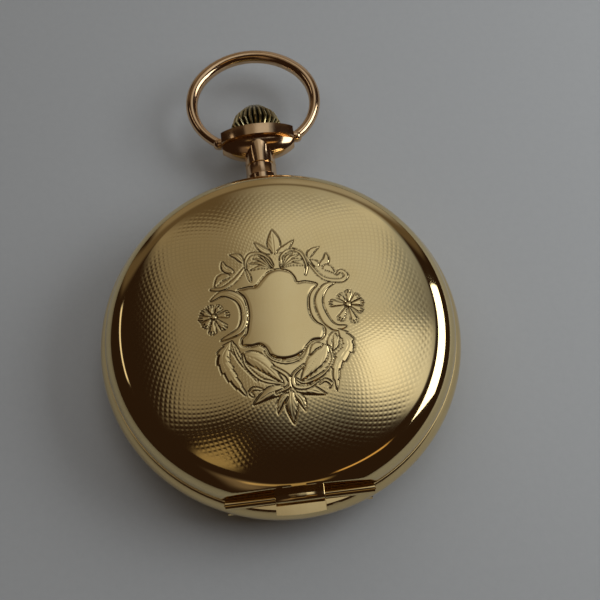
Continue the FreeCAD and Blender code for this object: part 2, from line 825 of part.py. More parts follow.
def make_pendant_sleeve():
    outside = cylinder(
        "sleeve_outside", "stem_radius + 0.52", "7.2", ("0", "26.5", "stem_height"), "Y"
    )
    inside = cylinder("sleeve_inside", "stem_radius + 0.04", "9", ("0", "26", "stem_height"), "Y")
    node(cut("pendant_sleeve", outside, inside))


# ---- movement: plates and bridges ----


def disc_with_flange(name):
    profile = [
        ("0", "plate_low"),
        ("plate_radius", "plate_low"),
        ("plate_radius", "ledge_height"),
        ("flange_radius", "ledge_height"),
        ("flange_radius", "plate_high"),
        ("0", "plate_high"),
    ]
    return turned(name, profile)


def bore(name, radius, at, low, high):
    return cylinder(name, radius, f"({high}) - ({low})", (at[0], at[1], low))


def make_main_plate():
    low, high = "plate_low - 1", "plate_high + 1"
    keyless_low = ("-8.5", "5", "work_floor")
    cuts = [
        bore("plate_motion_well", "7.1", CENTRE, "work_floor", high),
        box("plate_keyless_well", keyless_low, ("8.5", "17", high)),
        box("plate_lever_well", ("-6", "16", "work_floor"), ("1.5", "19.6", high)),
        box("plate_pinion_slot", ("-2.6", "11.5", low), ("2.6", "18.5", high)),
        box("plate_lever_slot", ("-0.45", "17.3", low), ("0.45", "19.8", high)),
        cylinder("plate_stem_way", "stem_radius + 0.08", "3", ("0", "18.2", "stem_height"), "Y"),
        bore("plate_barrel_hole", "1.2", BARREL, low, high),
        bore("plate_centre_hole", "0.9", CENTRE, low, high),
        bore("plate_third_hole", "0.9", THIRD, low, high),
        bore("plate_fourth_hole", "0.9", FOURTH, low, high),
        bore("plate_escape_hole", "0.9", ESCAPE, low, high),
        bore("plate_pallet_hole", "0.6", PALLET, low, high),
        bore("plate_balance_hole", "1.1", BALANCE, low, high),
    ]
    node(cut("main_plate", disc_with_flange("plate_disc"), *cuts))


def bridge_bulk(name):
    """Bridge plates and the rim that stands on the main plate, before they are divided."""
    profile = [
        ("0", "bridge_low"),
        ("bridge_radius", "bridge_low"),
        ("bridge_radius", "plate_low"),
        ("foot_inner", "plate_low"),
        ("foot_inner", "bridge_high"),
        ("0", "bridge_high"),
    ]
    return turned(name, profile)


def beyond_line(name, offset, side):
    """The half of the movement on one side of a line at 45 degrees, offset along +Y."""
    far = "30"
    if side == "barrel":
        points = [(f"-{far}", f"{offset} - {far}"), (far, f"{offset} + {far}"), (f"-{far}", far)]
    else:
        points = [(f"-{far}", f"{offset} - {far}"), (far, f"-{far}"), (far, f"{offset} + {far}")]
    return padded(name, points, "bridge_low - 1", "plate_low + 1")


def bridge_cuts(name):
    """What both bridges leave open: the balance's well, the cock's foot and the stem's way."""
    foot = polar("17.4", "-127")
    return [
        bore(f"{name}_well", "balance_well", BALANCE, "bridge_low - 1", "bridge_high + 0.25"),
        bore(f"{name}_cock_room", "3.1", foot, "bridge_low - 1", "plate_low + 1"),
        box(f"{name}_stem_way", ("-0.95", "8", "stem_height - 0.95"), ("0.95", "22", "plate_low + 1")),
        bar_between(f"{name}_cock_way", foot, BALANCE, "1.65", "bridge_low - 1", "bridge_low + 0.25"),
    ]


def make_bridges():
    low, high = "bridge_low - 1", "bridge_high + 1"
    barrel_cuts = bridge_cuts("barrel_side") + [
        bore("barrel_side_arbor", "0.95", BARREL, low, high),
        bore("barrel_side_contrate", "contrate_radius + 0.5", CROWN_WHEEL, low, "bridge_low + 0.8"),
        box("barrel_side_pinion", ("-1.9", "15.8", low), ("1.9", "18.55", high)),
        bore("barrel_side_click", "0.42", CLICK, low, high),
    ]
    half = common(
        "barrel_half", bridge_bulk("barrel_side_bulk"), beyond_line("barrel_line", "2.55", "barrel")
    )
    node(cut("barrel_bridge", half, *barrel_cuts))
    train_cuts = bridge_cuts("train_side") + [
        bore("train_side_centre", "0.9", CENTRE, low, high),
        bore("train_side_third", "0.75", THIRD, low, high),
        bore("train_side_fourth", "0.75", FOURTH, low, high),
        bore("train_side_escape", "0.6", ESCAPE, low, high),
    ]
    half = common(
        "train_half", bridge_bulk("train_side_bulk"), beyond_line("train_line", "2.25", "train")
    )
    node(cut("train_bridge", half, *train_cuts))


def bar_between(name, start, end, half_width, low, high):
    """A straight arm between two points of the movement, with square ends."""
    span = [size(f"({b}) - ({a})") for a, b in zip(start, end)]
    length = math.hypot(*span)
    bar = doc.addObject("Part::Box", name)
    bar.Length = length
    bar.setExpression("Width", bind(f"2 * ({half_width})"))
    bar.setExpression("Height", bind(f"({high}) - ({low})"))
    turn = FreeCAD.Rotation(V(0, 0, 1), math.degrees(math.atan2(span[1], span[0])))
    side = turn.multVec(V(0, -size(half_width), 0))
    bar.Placement = FreeCAD.Placement(V(size(start[0]), size(start[1]), size(low)) + side, turn)
    return bar


def make_balance_cock():
    foot = polar("17.3", "-127")
    low, top = "2.4", "3.1"
    arm = bar_between("cock_arm", foot, BALANCE, "1.5", low, top)
    table = bore("cock_table", "1.9", BALANCE, low, top)
    foot_block = bore("cock_foot", "2.9", foot, low, "plate_low")
    trim = common("cock_in_case", fuse("cock_solid", arm, table, foot_block),
                  bore("cock_limit", "bridge_radius", CENTRE, low, "plate_low"))
    node(cut("balance_cock", trim, bore("cock_hole", "0.75", BALANCE, "2", "3.5")))


PALLET_FOOT = ("9.4", "-9.8")


def make_pallet_cock():
    low, high = "4.4", "4.95"
    arm = bar_between("pallet_cock_arm", PALLET, PALLET_FOOT, "0.85", low, high)
    eye = bore("pallet_cock_eye", "1.15", PALLET, low, high)
    foot = bore("pallet_cock_foot", "1.6", PALLET_FOOT, low, "plate_low")
    node(cut("pallet_cock", fuse("pallet_cock_solid", arm, eye, foot),
             bore("pallet_cock_hole", "0.5", PALLET, "4", "5.2")))


# ---- movement: train ----


def arbor(name, at, stages):
    """A turned arbor from (radius, low, high) stages."""
    parts = [bore(f"{name}_{i}", r, at, low, high) for i, (r, low, high) in enumerate(stages)]
    return fuse(name, *parts)


def make_barrel():
    to_centre = bearing(BARREL, CENTRE)
    outer = "barrel_teeth * barrel_module / 2 - 0.25"
    teeth = toothed(
        "barrel_teeth_ring", "barrel_teeth", "barrel_module", "5.72", "6.08", BARREL, to_centre
    )
    drum = bore("barrel_drum", outer, BARREL, "4.16", "6.08")
    hollow = bore("barrel_hollow", f"{outer} - 0.35", BARREL, "4", "5.84")
    hole = bore("barrel_hole", "0.93", BARREL, "4", "7")
    node(cut("barrel", fuse("barrel_solid", teeth, drum), hollow, hole))
    node(ring("barrel_cover", f"{outer} - 0.37", "0.93", "4.16", "4.4", BARREL))
    node(spiral("mainspring", "2.35", "0.42", "0.2", 24, "4.5", "5.76", BARREL))
    core = [("0.9", "2.95", "6.9"), ("2.2", "4.46", "5.8"), ("0.7", "6.9", "7.55")]
    square = box(
        "barrel_square",
        (f"{BARREL[0]} - 0.6", f"{BARREL[1]} - 0.6", "2.4"),
        (f"{BARREL[0]} + 0.6", f"{BARREL[1]} + 0.6", "3"),
    )
    node(fuse("barrel_arbor", arbor("barrel_core", BARREL, core), square))


def wheel_and_pinion(name, at, wheel, pinion, stages):
    """A crossed-out wheel riveted to its pinion, on one arbor."""
    parts = [
        toothed(f"{name}_teeth", *wheel),
        toothed(f"{name}_leaves", *pinion, flank=PINION_LEAF),
        arbor(f"{name}_arbor", at, stages),
    ]
    return node(fuse(name, *parts))


def make_train():
    wheel_and_pinion(
        "centre_wheel",
        CENTRE,
        ("centre_teeth", "centre_module", "6.25", "6.48", CENTRE, bearing(CENTRE, THIRD),
         WHEEL_TOOTH, (1.3, 6.1, 5, 0.6)),
        ("centre_leaves", "barrel_module", "5.6", "6.25", CENTRE, bearing(CENTRE, BARREL)),
        [("0.6", "3.6", "6.6"), ("0.3", "3.3", "3.6"), ("0.34", "6.6", "10.0")],
    )
    wheel_and_pinion(
        "third_wheel",
        THIRD,
        ("third_teeth", "third_module", "5.1", "5.3", THIRD, bearing(THIRD, FOURTH),
         WHEEL_TOOTH, (0.95, 4.7, 5, 0.45)),
        ("third_leaves", "centre_module", "6.0", "6.6", THIRD, bearing(THIRD, CENTRE)),
        [("0.35", "3.9", "6.6"), ("0.12", "3.4", "3.9"), ("0.12", "6.6", "7.2")],
    )
    wheel_and_pinion(
        "fourth_wheel",
        FOURTH,
        ("fourth_teeth", "fourth_module", "4.35", "4.55", FOURTH, bearing(FOURTH, ESCAPE),
         WHEEL_TOOTH, (0.85, 3.9, 5, 0.4)),
        ("fourth_leaves", "third_module", "4.9", "5.55", FOURTH, bearing(FOURTH, THIRD)),
        [("0.3", "3.9", "6.6"), ("0.12", "3.4", "3.9"), ("0.15", "6.6", "9.5")],
    )


def make_escapement():
    toward = bearing(ESCAPE, FOURTH)
    count = round(size("escape_teeth"))
    tip, root = size("escape_radius"), size("escape_radius") * 0.76
    points = []
    for i in range(count):
        lead = i * 360 / count
        for radius, turn in ((root, 0), (tip, 8.5), (tip, 12), (root, 11)):
            points.append(on_circle(radius, lead + turn))
    height = 0.28
    blank = Part.Face(Part.makePolygon(points + points[:1])).extrude(V(0, 0, height))
    blank = blank.cut(spoke_windows(height, 0.7, tip * 0.64, 4, 0.32))
    wheel = feature("escape_blank", blank, (*ESCAPE, "5.4"))
    leaves = toothed("escape_pinion", "escape_leaves", "fourth_module", "4.2", "4.75", ESCAPE,
                     toward, PINION_LEAF)
    stages = [("0.24", "4.1", "6.5"), ("0.1", "3.6", "4.1"), ("0.1", "6.5", "7.1")]
    node(fuse("escape_wheel", wheel, leaves, arbor("escape_arbor", ESCAPE, stages)))


def make_pallets():
    """The lever: an anchor that reaches round the escape wheel, and a fork towards the balance."""
    clear = "escape_radius + 0.15"
    centre = "-pallet_reach"
    half = "30.6"
    edge = [
        (f"{centre} + ({clear}) * cos({half})", f"({clear}) * sin({half})", clear, -1),
        (f"{centre} + ({clear}) * cos({half})", f"-({clear}) * sin({half})"),
    ]
    lower = [("-0.45", "-1.9"), ("-0.1", "-1.8"), ("0.45", "-0.3"), ("4.0", "-0.14"), ("4.3", "-0.5"),
             ("4.75", "-0.5"), ("4.75", "-0.2"), ("4.45", "-0.16")]
    upper = [(x, y[1:]) for x, y in reversed(lower)]
    anchor = padded("fork_anchor", edge + lower + upper, "5.3", "5.65")
    turn_about(anchor, PALLET, "5.3", "lever_angle")
    stages = [("0.2", "5.0", "6.55"), ("0.09", "4.5", "5.0"), ("0.09", "6.55", "7.1")]
    node(fuse("pallet_fork", anchor, arbor("fork_arbor", PALLET, stages)))
    stones = []
    for i, spread in enumerate(("-28.5", "28.5")):
        stone = Part.makeBox(0.3, 0.22, 0.3, V(0, -0.11, 0))
        face = feature(f"pallet_stone_{i}", stone)
        near = polar("escape_radius + 0.13", f"lever_angle + ({spread})", ESCAPE)
        stones.append(turn_about(face, near, "5.0", f"lever_angle + ({spread})"))
    node(group("pallet_stones", stones))


def turn_about(part, at, low, angle):
    """Sets a part down at a point of the movement, turned by an angle of the sheet."""
    turn = FreeCAD.Rotation(V(0, 0, 1), size(angle))
    part.Placement = FreeCAD.Placement(V(*[size(text) for text in (*at, low)]), turn)
    for letter, text in zip("xyz", (*at, low)):
        part.setExpression(f"Placement.Base.{letter}", bind(text))
    return part


def make_balance():
    rim_radius = "balance_radius - 0.35"
    rim = ring("balance_rim", rim_radius, f"{rim_radius} - 0.55", "3.5", "4.05", BALANCE)
    arms = []
    for i in range(2):
        start = polar(f"{rim_radius} - 0.3", f"20 + 180 * {i}", BALANCE)
        arms.append(bar_between(f"balance_arm_{i}", BALANCE, start, "0.4", "3.6", "3.9"))
    hub = ring("balance_hub", "1.0", "0.37", "3.5", "3.95", BALANCE)
    hole = bore("balance_bore", "0.37", BALANCE, "3", "4.5")
    count = round(size("balance_screws"))
    screws = []
    for i in range(count):
        angle = 11 + i * 360 / count
        foot = (*polar(f"{rim_radius} - 0.1", angle, BALANCE), "3.78")
        screw = doc.addObject("Part::Cylinder", f"balance_screw_{i}")
        screw.Radius = 0.22
        screw.Height = 0.45
        turn = FreeCAD.Rotation(V(0, 0, 1), angle) * FreeCAD.Rotation(V(0, 1, 0), 90)
        screw.Placement = FreeCAD.Placement(V(*[size(text) for text in foot]), turn)
        screws.append(screw)
    node(cut("balance_wheel", fuse("balance_solid", rim, hub, *arms, *screws), hole))
    stages = [("0.35", "3.2", "5.0"), ("0.1", "2.6", "3.2"), ("1.12", "5.0", "5.2"),
              ("0.35", "5.2", "6.4"), ("0.1", "6.4", "7.1")]
    node(arbor("balance_staff", BALANCE, stages))
    node(spiral("hairspring", "0.6", "0.3", "0.06", 18, "3.22", "3.4", BALANCE))
    jewel_at = polar("0.92", "lever_angle + 180", BALANCE)
    node(bore("impulse_jewel", "0.14", jewel_at, "5.2", "5.6"))


def make_regulator():
    tail = polar("4.6", "152", BALANCE)
    arm = bar_between("regulator_arm", BALANCE, tail, "0.22", "2.16", "2.36")
    eye = bore("regulator_eye", "1.35", BALANCE, "2.16", "2.36")
    node(cut("regulator", fuse("regulator_solid", arm, eye),
             bore("regulator_hole", "0.85", BALANCE, "2", "3")))


def jewel(name, at, low, high, radius, hole):
    return ring(name, f"{radius} - 0.01", hole, low, high, at)


def make_jewels():
    spots = [
        ("third_low", THIRD, "3.4", "3.9", "0.75", "0.14"),
        ("fourth_low", FOURTH, "3.4", "3.9", "0.75", "0.14"),
        ("escape_low", ESCAPE, "3.55", "4.0", "0.6", "0.12"),
        ("centre_low", CENTRE, "3.25", "3.58", "0.9", "0.32"),
        ("third_high", THIRD, "6.75", "7.4", "0.9", "0.14"),
        ("fourth_high", FOURTH, "6.75", "7.4", "0.9", "0.17"),
        ("escape_high", ESCAPE, "6.75", "7.4", "0.9", "0.12"),
        ("pallet_high", PALLET, "6.75", "7.4", "0.6", "0.11"),
        ("pallet_low", PALLET, "4.45", "4.9", "0.5", "0.11"),
    ]
    node(group("train_jewels", [jewel(f"jewel_{s[0]}", *s[1:]) for s in spots]))
    caps = [
        jewel("jewel_cock", BALANCE, "2.6", "3.08", "0.75", "0.12"),
        bore("jewel_cock_cap", "0.7", BALANCE, "2.3", "2.56"),
        jewel("jewel_balance_high", BALANCE, "6.75", "7.2", "1.1", "0.12"),
    ]
    node(group("balance_jewels", caps))


# ---- movement: winding work ----

CLICK = polar("7.95", "235", BARREL)


def make_ratchet():
    low, high = "2.4", "2.88"
    to_crown = bearing(BARREL, CROWN_WHEEL)
    teeth = toothed("ratchet_teeth_disc", "ratchet_teeth", "winding_module", low, high, BARREL, to_crown)
    square = box(
        "ratchet_square",
        (f"{BARREL[0]} - 0.62", f"{BARREL[1]} - 0.62", "2"),
        (f"{BARREL[0]} + 0.62", f"{BARREL[1]} + 0.62", "4"),
    )
    node(cut("ratchet_wheel", teeth, square))
    node(slotted_screw("ratchet_screw", "1.7", "2.08", "2.38", BARREL))


def make_crown_wheel():
    low, high = "2.4", "2.88"
    to_ratchet = bearing(CROWN_WHEEL, BARREL)
    count = round(size("crown_wheel_teeth"))
    pitch = 360 / count
    teeth = toothed("crown_wheel_disc", "crown_wheel_teeth", "winding_module", low, high,
                    CROWN_WHEEL, to_ratchet + pitch / 2)
    reach = size("contrate_radius")
    inner, outer = reach - 0.35, reach + 0.15
    face = Part.makeCylinder(outer, 0.22).cut(Part.makeCylinder(inner, 0.22))
    for i in range(count):
        middle = 90 + (i + 0.5) * pitch
        corners = [
            on_circle(radius, middle + side * 0.2 * pitch)
            for radius, side in ((inner, -1), (outer, -1), (outer, 1), (inner, 1))
        ]
        tooth = Part.Face(Part.makePolygon(corners + corners[:1])).extrude(V(0, 0, 0.7))
        face = face.fuse(tooth)
    contrate = feature("crown_wheel_contrate", face, (*CROWN_WHEEL, high))
    hole = bore("crown_wheel_bore", "1.53", CROWN_WHEEL, "2", "4")
    node(cut("crown_wheel", fuse("crown_wheel_solid", teeth, contrate), hole))
    core = [("1.5", "2.38", "bridge_low + 0.8"), ("2.0", "2.14", "2.38")]
    node(arbor("crown_wheel_core", CROWN_WHEEL, core))


def make_click():
    """A pawl whose nose stands at the edge of the ratchet's teeth, on a screw in the bridge."""
    toward = bearing(BARREL, CLICK)
    nose = polar("ratchet_teeth * winding_module / 2 + 0.46", str(toward + 17), BARREL)
    arm = bar_between("click_arm", CLICK, nose, "0.3", "2.42", "2.86")
    eye = bore("click_eye", "0.95", CLICK, "2.42", "2.86")
    node(cut("click", fuse("click_solid", arm, eye), bore("click_bore", "0.43", CLICK, "2", "3.2")))
    screw = [("0.85", "2.2", "2.4"), ("0.4", "2.4", "bridge_high")]
    node(arbor("click_screw", CLICK, screw))
    end = polar("9.3", str(toward + 38), BARREL)
    near = polar("7.6", str(toward + 14), BARREL)
    node(bar_between("click_spring", end, near, "0.1", "2.45", "2.8"))


def make_winding_pinions():
    """Both pinions are made upright and then laid along the stem."""
    contrate_pitch = "(2 * contrate_radius / crown_wheel_teeth)"
    leaves = toothed("winding_leaves", "winding_pinion_teeth", contrate_pitch, "0", "0.9", CENTRE,
                     -90, WHEEL_TOOTH)
    lay(leaves, "16.5")
    body = cylinder("winding_pinion_body", "1.75", "1.35", ("0", "16.1", "stem_height"), "Y")
    hole = cylinder("winding_pinion_hole", "stem_radius + 0.03", "4", ("0", "15", "stem_height"), "Y")
    node(cut("winding_pinion", fuse("winding_pinion_solid", leaves, body), hole))
    profile = [
        ("0", "13.1"),
        ("1.62", "13.1"),
        ("1.62", "14.1"),
        ("1.2", "14.1"),
        ("1.2", "14.8"),
        ("1.62", "14.8"),
        ("1.62", "15.7"),
        ("0", "15.7"),
    ]
    blank = turned("sliding_blank", profile, ("0", "0", "stem_height"), "Y")
    half = "(stem_square / 2 + 0.03)"
    square = box(
        "sliding_square",
        (f"-{half}", "12", f"stem_height - {half}"),
        (half, "16", f"stem_height + {half}"),
    )
    node(cut("sliding_pinion", blank, square))


def lay(part, reach):
    """Lays a part that was made upright along the stem, its foot at a distance from the centre."""
    part.Placement = FreeCAD.Placement(V(0, size(reach), size("stem_height")), TURN["Y"])
    part.setExpression("Placement.Base.y", bind(reach))
    part.setExpression("Placement.Base.z", "Sizes.stem_height")
    return part


def make_keyless_levers():
    pivot = ("-4.2", "18.3")
    tail = ("0", "18.3")
    arm = bar_between("setting_arm", pivot, tail, "0.35", "7.75", "8.15")
    eye = bore("setting_eye", "0.8", pivot, "7.75", "8.15")
    pin = bore("setting_pin", "0.22", tail, "6.5", "8.15")
    node(fuse("setting_lever", arm, eye, pin))
    pivot = ("-4.6", "14.45")
    arm = bar_between("yoke_arm", pivot, ("0.25", "14.45"), "0.3", "7.7", "8.1")
    eye = bore("yoke_eye", "0.75", pivot, "7.7", "8.1")
    finger = box("yoke_finger", ("-0.25", "14.25", "7.2"), ("0.25", "14.65", "7.9"))
    node(fuse("yoke", arm, eye, finger))


# ---- movement: motion work, dial and hands ----


def make_motion_work():
    up = 90
    leaves = toothed("cannon_leaves_part", "cannon_leaves", "motion_module", "7.7", "8.15", CENTRE,
                     up, PINION_LEAF)
    pipe = bore("cannon_pipe", "0.6", CENTRE, "7.7", "10.2")
    node(cut("cannon_pinion", fuse("cannon_solid", leaves, pipe),
             bore("cannon_bore", "0.36", CENTRE, "7", "11")))
    wheel = toothed("minute_wheel_teeth", "minute_teeth", "motion_module", "7.8", "8.05", MINUTE, -up)
    pinion = toothed("minute_pinion", "minute_leaves", HOUR_MODULE, "8.05", "8.5", MINUTE, -up,
                     PINION_LEAF)
    node(cut("minute_wheel", fuse("minute_solid", wheel, pinion),
             bore("minute_bore", "0.33", MINUTE, "7", "9")))
    wheel = toothed("hour_wheel_teeth", "hour_teeth", HOUR_MODULE, "8.22", "8.45", CENTRE, up)
    pipe = bore("hour_pipe", "0.95", CENTRE, "8.22", "9.8")
    node(cut("hour_wheel", fuse("hour_solid", wheel, pipe), bore("hour_bore", "0.64", CENTRE, "8", "10")))
    half_pitch = 180 / size("setting_teeth")
    wheel = toothed("setting_teeth_disc", "setting_teeth", "motion_module", "7.65", "7.95", SETTING,
                    half_pitch - up)
    node(cut("setting_wheel", wheel, bore("setting_bore", "0.43", SETTING, "7", "9")))
    posts = [
        bore("minute_post", "0.3", MINUTE, "work_floor", "8.55"),
        bore("setting_post", "0.4", SETTING, "work_floor", "8.2"),
    ]
    node(group("motion_posts", posts))


def make_dials():
    low, high = "dial_low", "dial_high"
    disc = bore("dial_disc", "dial_radius", CENTRE, low, high)
    hole = bore("dial_hole", "1.15", CENTRE, "dial_low - 1", "dial_high + 1")
    well = bore("dial_well", "seconds_dial_radius + 0.02", FOURTH, "dial_low - 1", "dial_high + 1")
    node(cut("dial", disc, hole, well))
    node(ring("seconds_dial", "seconds_dial_radius", "0.4", low, "dial_low + 0.35", FOURTH))


def spade_hand(name, length, hub, hub_bore, low, high, angle):
    """A hand with a slim waist and a spade near its tip, pointing along the angle."""
    tip = f"({length})"
    upper = [
        (tip, "0.06"),
        (f"{tip} * 0.86", "0.16"),
        (f"{tip} * 0.78", "0.75"),
        (f"{tip} * 0.68", "0.7"),
        (f"{tip} * 0.64", "0.2"),
        (f"{tip} * 0.3", "0.36"),
        ("0", "0.4"),
    ]
    lower = [(x, f"-{y}") for x, y in reversed(upper)]
    blade = padded(f"{name}_blade", upper + lower, low, high)
    turn_about(blade, CENTRE, low, str(angle))
    eye = bore(f"{name}_eye", hub, CENTRE, low, high)
    node(cut(name, fuse(f"{name}_solid", blade, eye), bore(f"{name}_hole", hub_bore, CENTRE, "5", "12")))


def clock_angle(turns):
    """Where a hand points after so many turns from twelve, which is at -X."""
    return 180 - 360 * turns


def make_hands():
    spade_hand("hour_hand", "11.2", "1.7", "0.96", "9.6", "9.76", clock_angle(10.15 / 12))
    spade_hand("minute_hand", "16.8", "1.3", "0.61", "9.98", "10.12", clock_angle(9 / 60))
    angle = clock_angle(35 / 60)
    blade = padded("seconds_blade", [("3.7", "0.05"), ("-1.3", "0.14"), ("-1.3", "-0.14"),
                                     ("3.7", "-0.05")], "9.3", "9.42")
    turn_about(blade, FOURTH, "9.3", str(angle))
    eye = bore("seconds_eye", "0.36", FOURTH, "9.2", "9.45")
    node(cut("seconds_hand", fuse("seconds_solid", blade, eye),
             bore("seconds_hole", "0.16", FOURTH, "9", "10")))


# ---- screws ----


def make_screws():
    spots = [polar("18.9", str(angle)) for angle in (148, 64, 4, -62)]
    heads = [
        slotted_screw(f"bridge_screw_{i}", "1.0", "2.6", "bridge_low", at)
        for i, at in enumerate(spots)
    ]
    cock = polar("17.9", "-127")
    heads.append(slotted_screw("cock_screw", "1.1", "2.2", "2.4", cock))
    node(group("bridge_screws", heads))
    heads = [
        slotted_screw(f"case_screw_{i}", "0.95", "2.62", "bridge_low", at)
        for i, at in enumerate([polar("19.4", "118"), polar("19.4", "-25")])
    ]
    node(group("case_screws", heads))


STEPS = [
    make_front_cover,
    make_back_cover,
    make_cuvette,
    make_case_middle,
    make_hinge_pins,
    make_lid_springs,
    make_lid_catch,
    make_bezel_and_glass,
    make_pendant,
    make_bow,
    make_crown,
    make_winding_stem,
    make_pendant_sleeve,
    make_main_plate,
    make_bridges,
    make_balance_cock,
    make_pallet_cock,
    make_barrel,
    make_train,
    make_escapement,
    make_pallets,
    make_balance,
    make_regulator,
    make_jewels,
    make_ratchet,
    make_crown_wheel,
    make_click,
    make_winding_pinions,
    make_keyless_levers,
    make_motion_work,
    make_dials,
    make_hands,
    make_screws,
]


def faults():
    """Objects that failed, and sub-parts whose shape is missing or broken."""
    found = [o.Name for o in doc.Objects if {"Invalid", "Error"} & set(o.State)]
    for part in nodes:
        if part.Shape.isNull() or not part.Shape.isValid() or not part.Shape.Solids:
            found.append(part.Label)
    return found


def main():
    for step in STEPS:
        step()
        doc.recompute()
    broken = faults()
    if broken:
        raise SystemExit(f"not written, because these failed: {broken}")
    os.makedirs("parts", exist_ok=True)
    for part in nodes:
        part.Shape.exportStep(f"parts/{part.Label}.step")
    print(f"{len(nodes)} nodes")


main()
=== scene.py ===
import json
import math

import bmesh
import bpy
import numpy as np
from mathutils import Matrix, Vector


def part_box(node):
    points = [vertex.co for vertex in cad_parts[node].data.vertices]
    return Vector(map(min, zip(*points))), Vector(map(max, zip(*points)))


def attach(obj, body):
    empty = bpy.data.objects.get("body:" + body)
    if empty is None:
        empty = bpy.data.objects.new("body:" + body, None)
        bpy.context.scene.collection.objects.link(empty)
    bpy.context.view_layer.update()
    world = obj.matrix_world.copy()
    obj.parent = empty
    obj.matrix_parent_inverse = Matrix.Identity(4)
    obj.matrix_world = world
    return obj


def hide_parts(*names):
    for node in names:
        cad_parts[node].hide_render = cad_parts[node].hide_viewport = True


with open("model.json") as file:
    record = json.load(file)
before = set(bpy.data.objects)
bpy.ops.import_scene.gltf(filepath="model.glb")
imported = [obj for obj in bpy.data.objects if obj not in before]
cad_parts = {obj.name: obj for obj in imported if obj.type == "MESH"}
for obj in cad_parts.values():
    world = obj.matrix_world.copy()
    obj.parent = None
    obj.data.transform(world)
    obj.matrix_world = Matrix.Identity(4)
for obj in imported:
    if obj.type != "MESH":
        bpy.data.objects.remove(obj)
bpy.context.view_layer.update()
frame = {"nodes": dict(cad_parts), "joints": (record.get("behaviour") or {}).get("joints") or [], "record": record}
mm = 0.001  # metres; every size below is in millimetres
joints = {joint["name"]: joint for joint in frame["joints"]}
bodyOf = {node: body for body, nodes in frame["record"]["behaviour"]["bodies"].items() for node in nodes}
print("frame loaded:", len(frame["nodes"]), "nodes")


# camera: above the hinge side, a little to the left, looking down on the lid
view = {
    "target": (3.4, 5.3, 7.0),
    "azimuth": -6.8,
    "elevation": 68.2,
    "distance": 133.5,
    "lens": 54.6,
}


def placeCamera(view):
    a, e = math.radians(view["azimuth"]), math.radians(view["elevation"])
    back = Vector((math.sin(a) * math.cos(e), -math.cos(a) * math.cos(e), math.sin(e)))
    data = bpy.data.cameras.new("camera")
    data.lens = view["lens"]
    data.clip_start, data.clip_end = 0.01, 10
    camera = bpy.data.objects.new("camera", data)
    camera.location = (Vector(view["target"]) + back * view["distance"]) * mm
    camera.rotation_mode = "QUATERNION"
    camera.rotation_quaternion = (-back).to_track_quat("-Z", "Y")
    bpy.context.collection.objects.link(camera)
    bpy.context.scene.camera = camera


placeCamera(view)


def linear(hexColour):
    parts = [int(hexColour[i : i + 2], 16) / 255 for i in (1, 3, 5)]
    return tuple(p / 12.92 if p <= 0.04045 else ((p + 0.055) / 1.055) ** 2.4 for p in parts) + (1.0,)


def addNode(tree, kind, settings=None, inputs=None):
    node = tree.nodes.new(kind)
    for key, value in (settings or {}).items():
        setattr(node, key, value)
    for key, value in (inputs or {}).items():
        if isinstance(value, bpy.types.NodeSocket):
            tree.links.new(value, node.inputs[key])
        else:
            node.inputs[key].default_value = value
    return node


def newMaterial(name):
    material = bpy.data.materials.new(name)
    material.use_nodes = True
    tree = material.node_tree
    tree.nodes.clear()
    return material, tree


def finishMaterial(tree, inputs):
    shader = addNode(tree, "ShaderNodeBsdfPrincipled", inputs=inputs)
    addNode(tree, "ShaderNodeOutputMaterial", inputs={"Surface": shader.outputs[0]})


def perMetre(size):  # a texture scale that gives features of this many millimetres
    return 1000 / size


def metal(name, look):
    # tone drifts slowly over the piece, handling leaves a faint haze and hair scratches; the noise
    # sizes are millimetres, and scratches are drawn coarser than real hairlines so that they show
    material, tree = newMaterial(name)
    place = addNode(tree, "ShaderNodeTexCoord").outputs["Object"]
    haze = addNode(tree, "ShaderNodeTexNoise", inputs={
        "Vector": place, "Scale": perMetre(look["haze"]), "Detail": 4.0, "Roughness": 0.6})
    tone = addNode(tree, "ShaderNodeMix", {"data_type": "RGBA"}, {
        0: haze.outputs[0], 6: linear(look["colour"]), 7: linear(look["shade"])})
    colour = tone.outputs[2]
    roughness = addNode(tree, "ShaderNodeMapRange", inputs={
        0: haze.outputs[0], 1: 0.3, 2: 0.75, 3: look["roughness"][0], 4: look["roughness"][1]})
    rough = roughness.outputs[0]
    if "grime" in look:  # painted shade in the cuts, read from the piece's own shade attribute
        cut = addNode(tree, "ShaderNodeAttribute", {"attribute_name": "grime"}).outputs["Fac"]
        # the cuts are painted darker as shade
        shaded = addNode(tree, "ShaderNodeMix", {"data_type": "RGBA"}, {
            0: cut, 6: colour, 7: linear(look["grime"])})
        colour = shaded.outputs[2]
        rough = addNode(tree, "ShaderNodeMath", {"operation": "MULTIPLY_ADD"}, {
            0: cut, 1: 0.35, 2: rough}).outputs[0]
    stretched = addNode(tree, "ShaderNodeMapping", inputs={
        "Vector": place, "Rotation": (0.2, 0.1, 0.7), "Scale": (1, 0.06, 1)})
    scratches = addNode(tree, "ShaderNodeTexNoise", inputs={
        "Vector": stretched.outputs[0], "Scale": perMetre(look["scratch"]), "Detail": 3.0})
    bump = addNode(tree, "ShaderNodeBump", inputs={
        "Height": scratches.outputs[0], "Strength": look["relief"], "Distance": 0.01 * mm})
    finishMaterial(tree, {
        "Base Color": colour, "Metallic": 1.0, "Roughness": rough, "Normal": bump.outputs[0]})
    return material


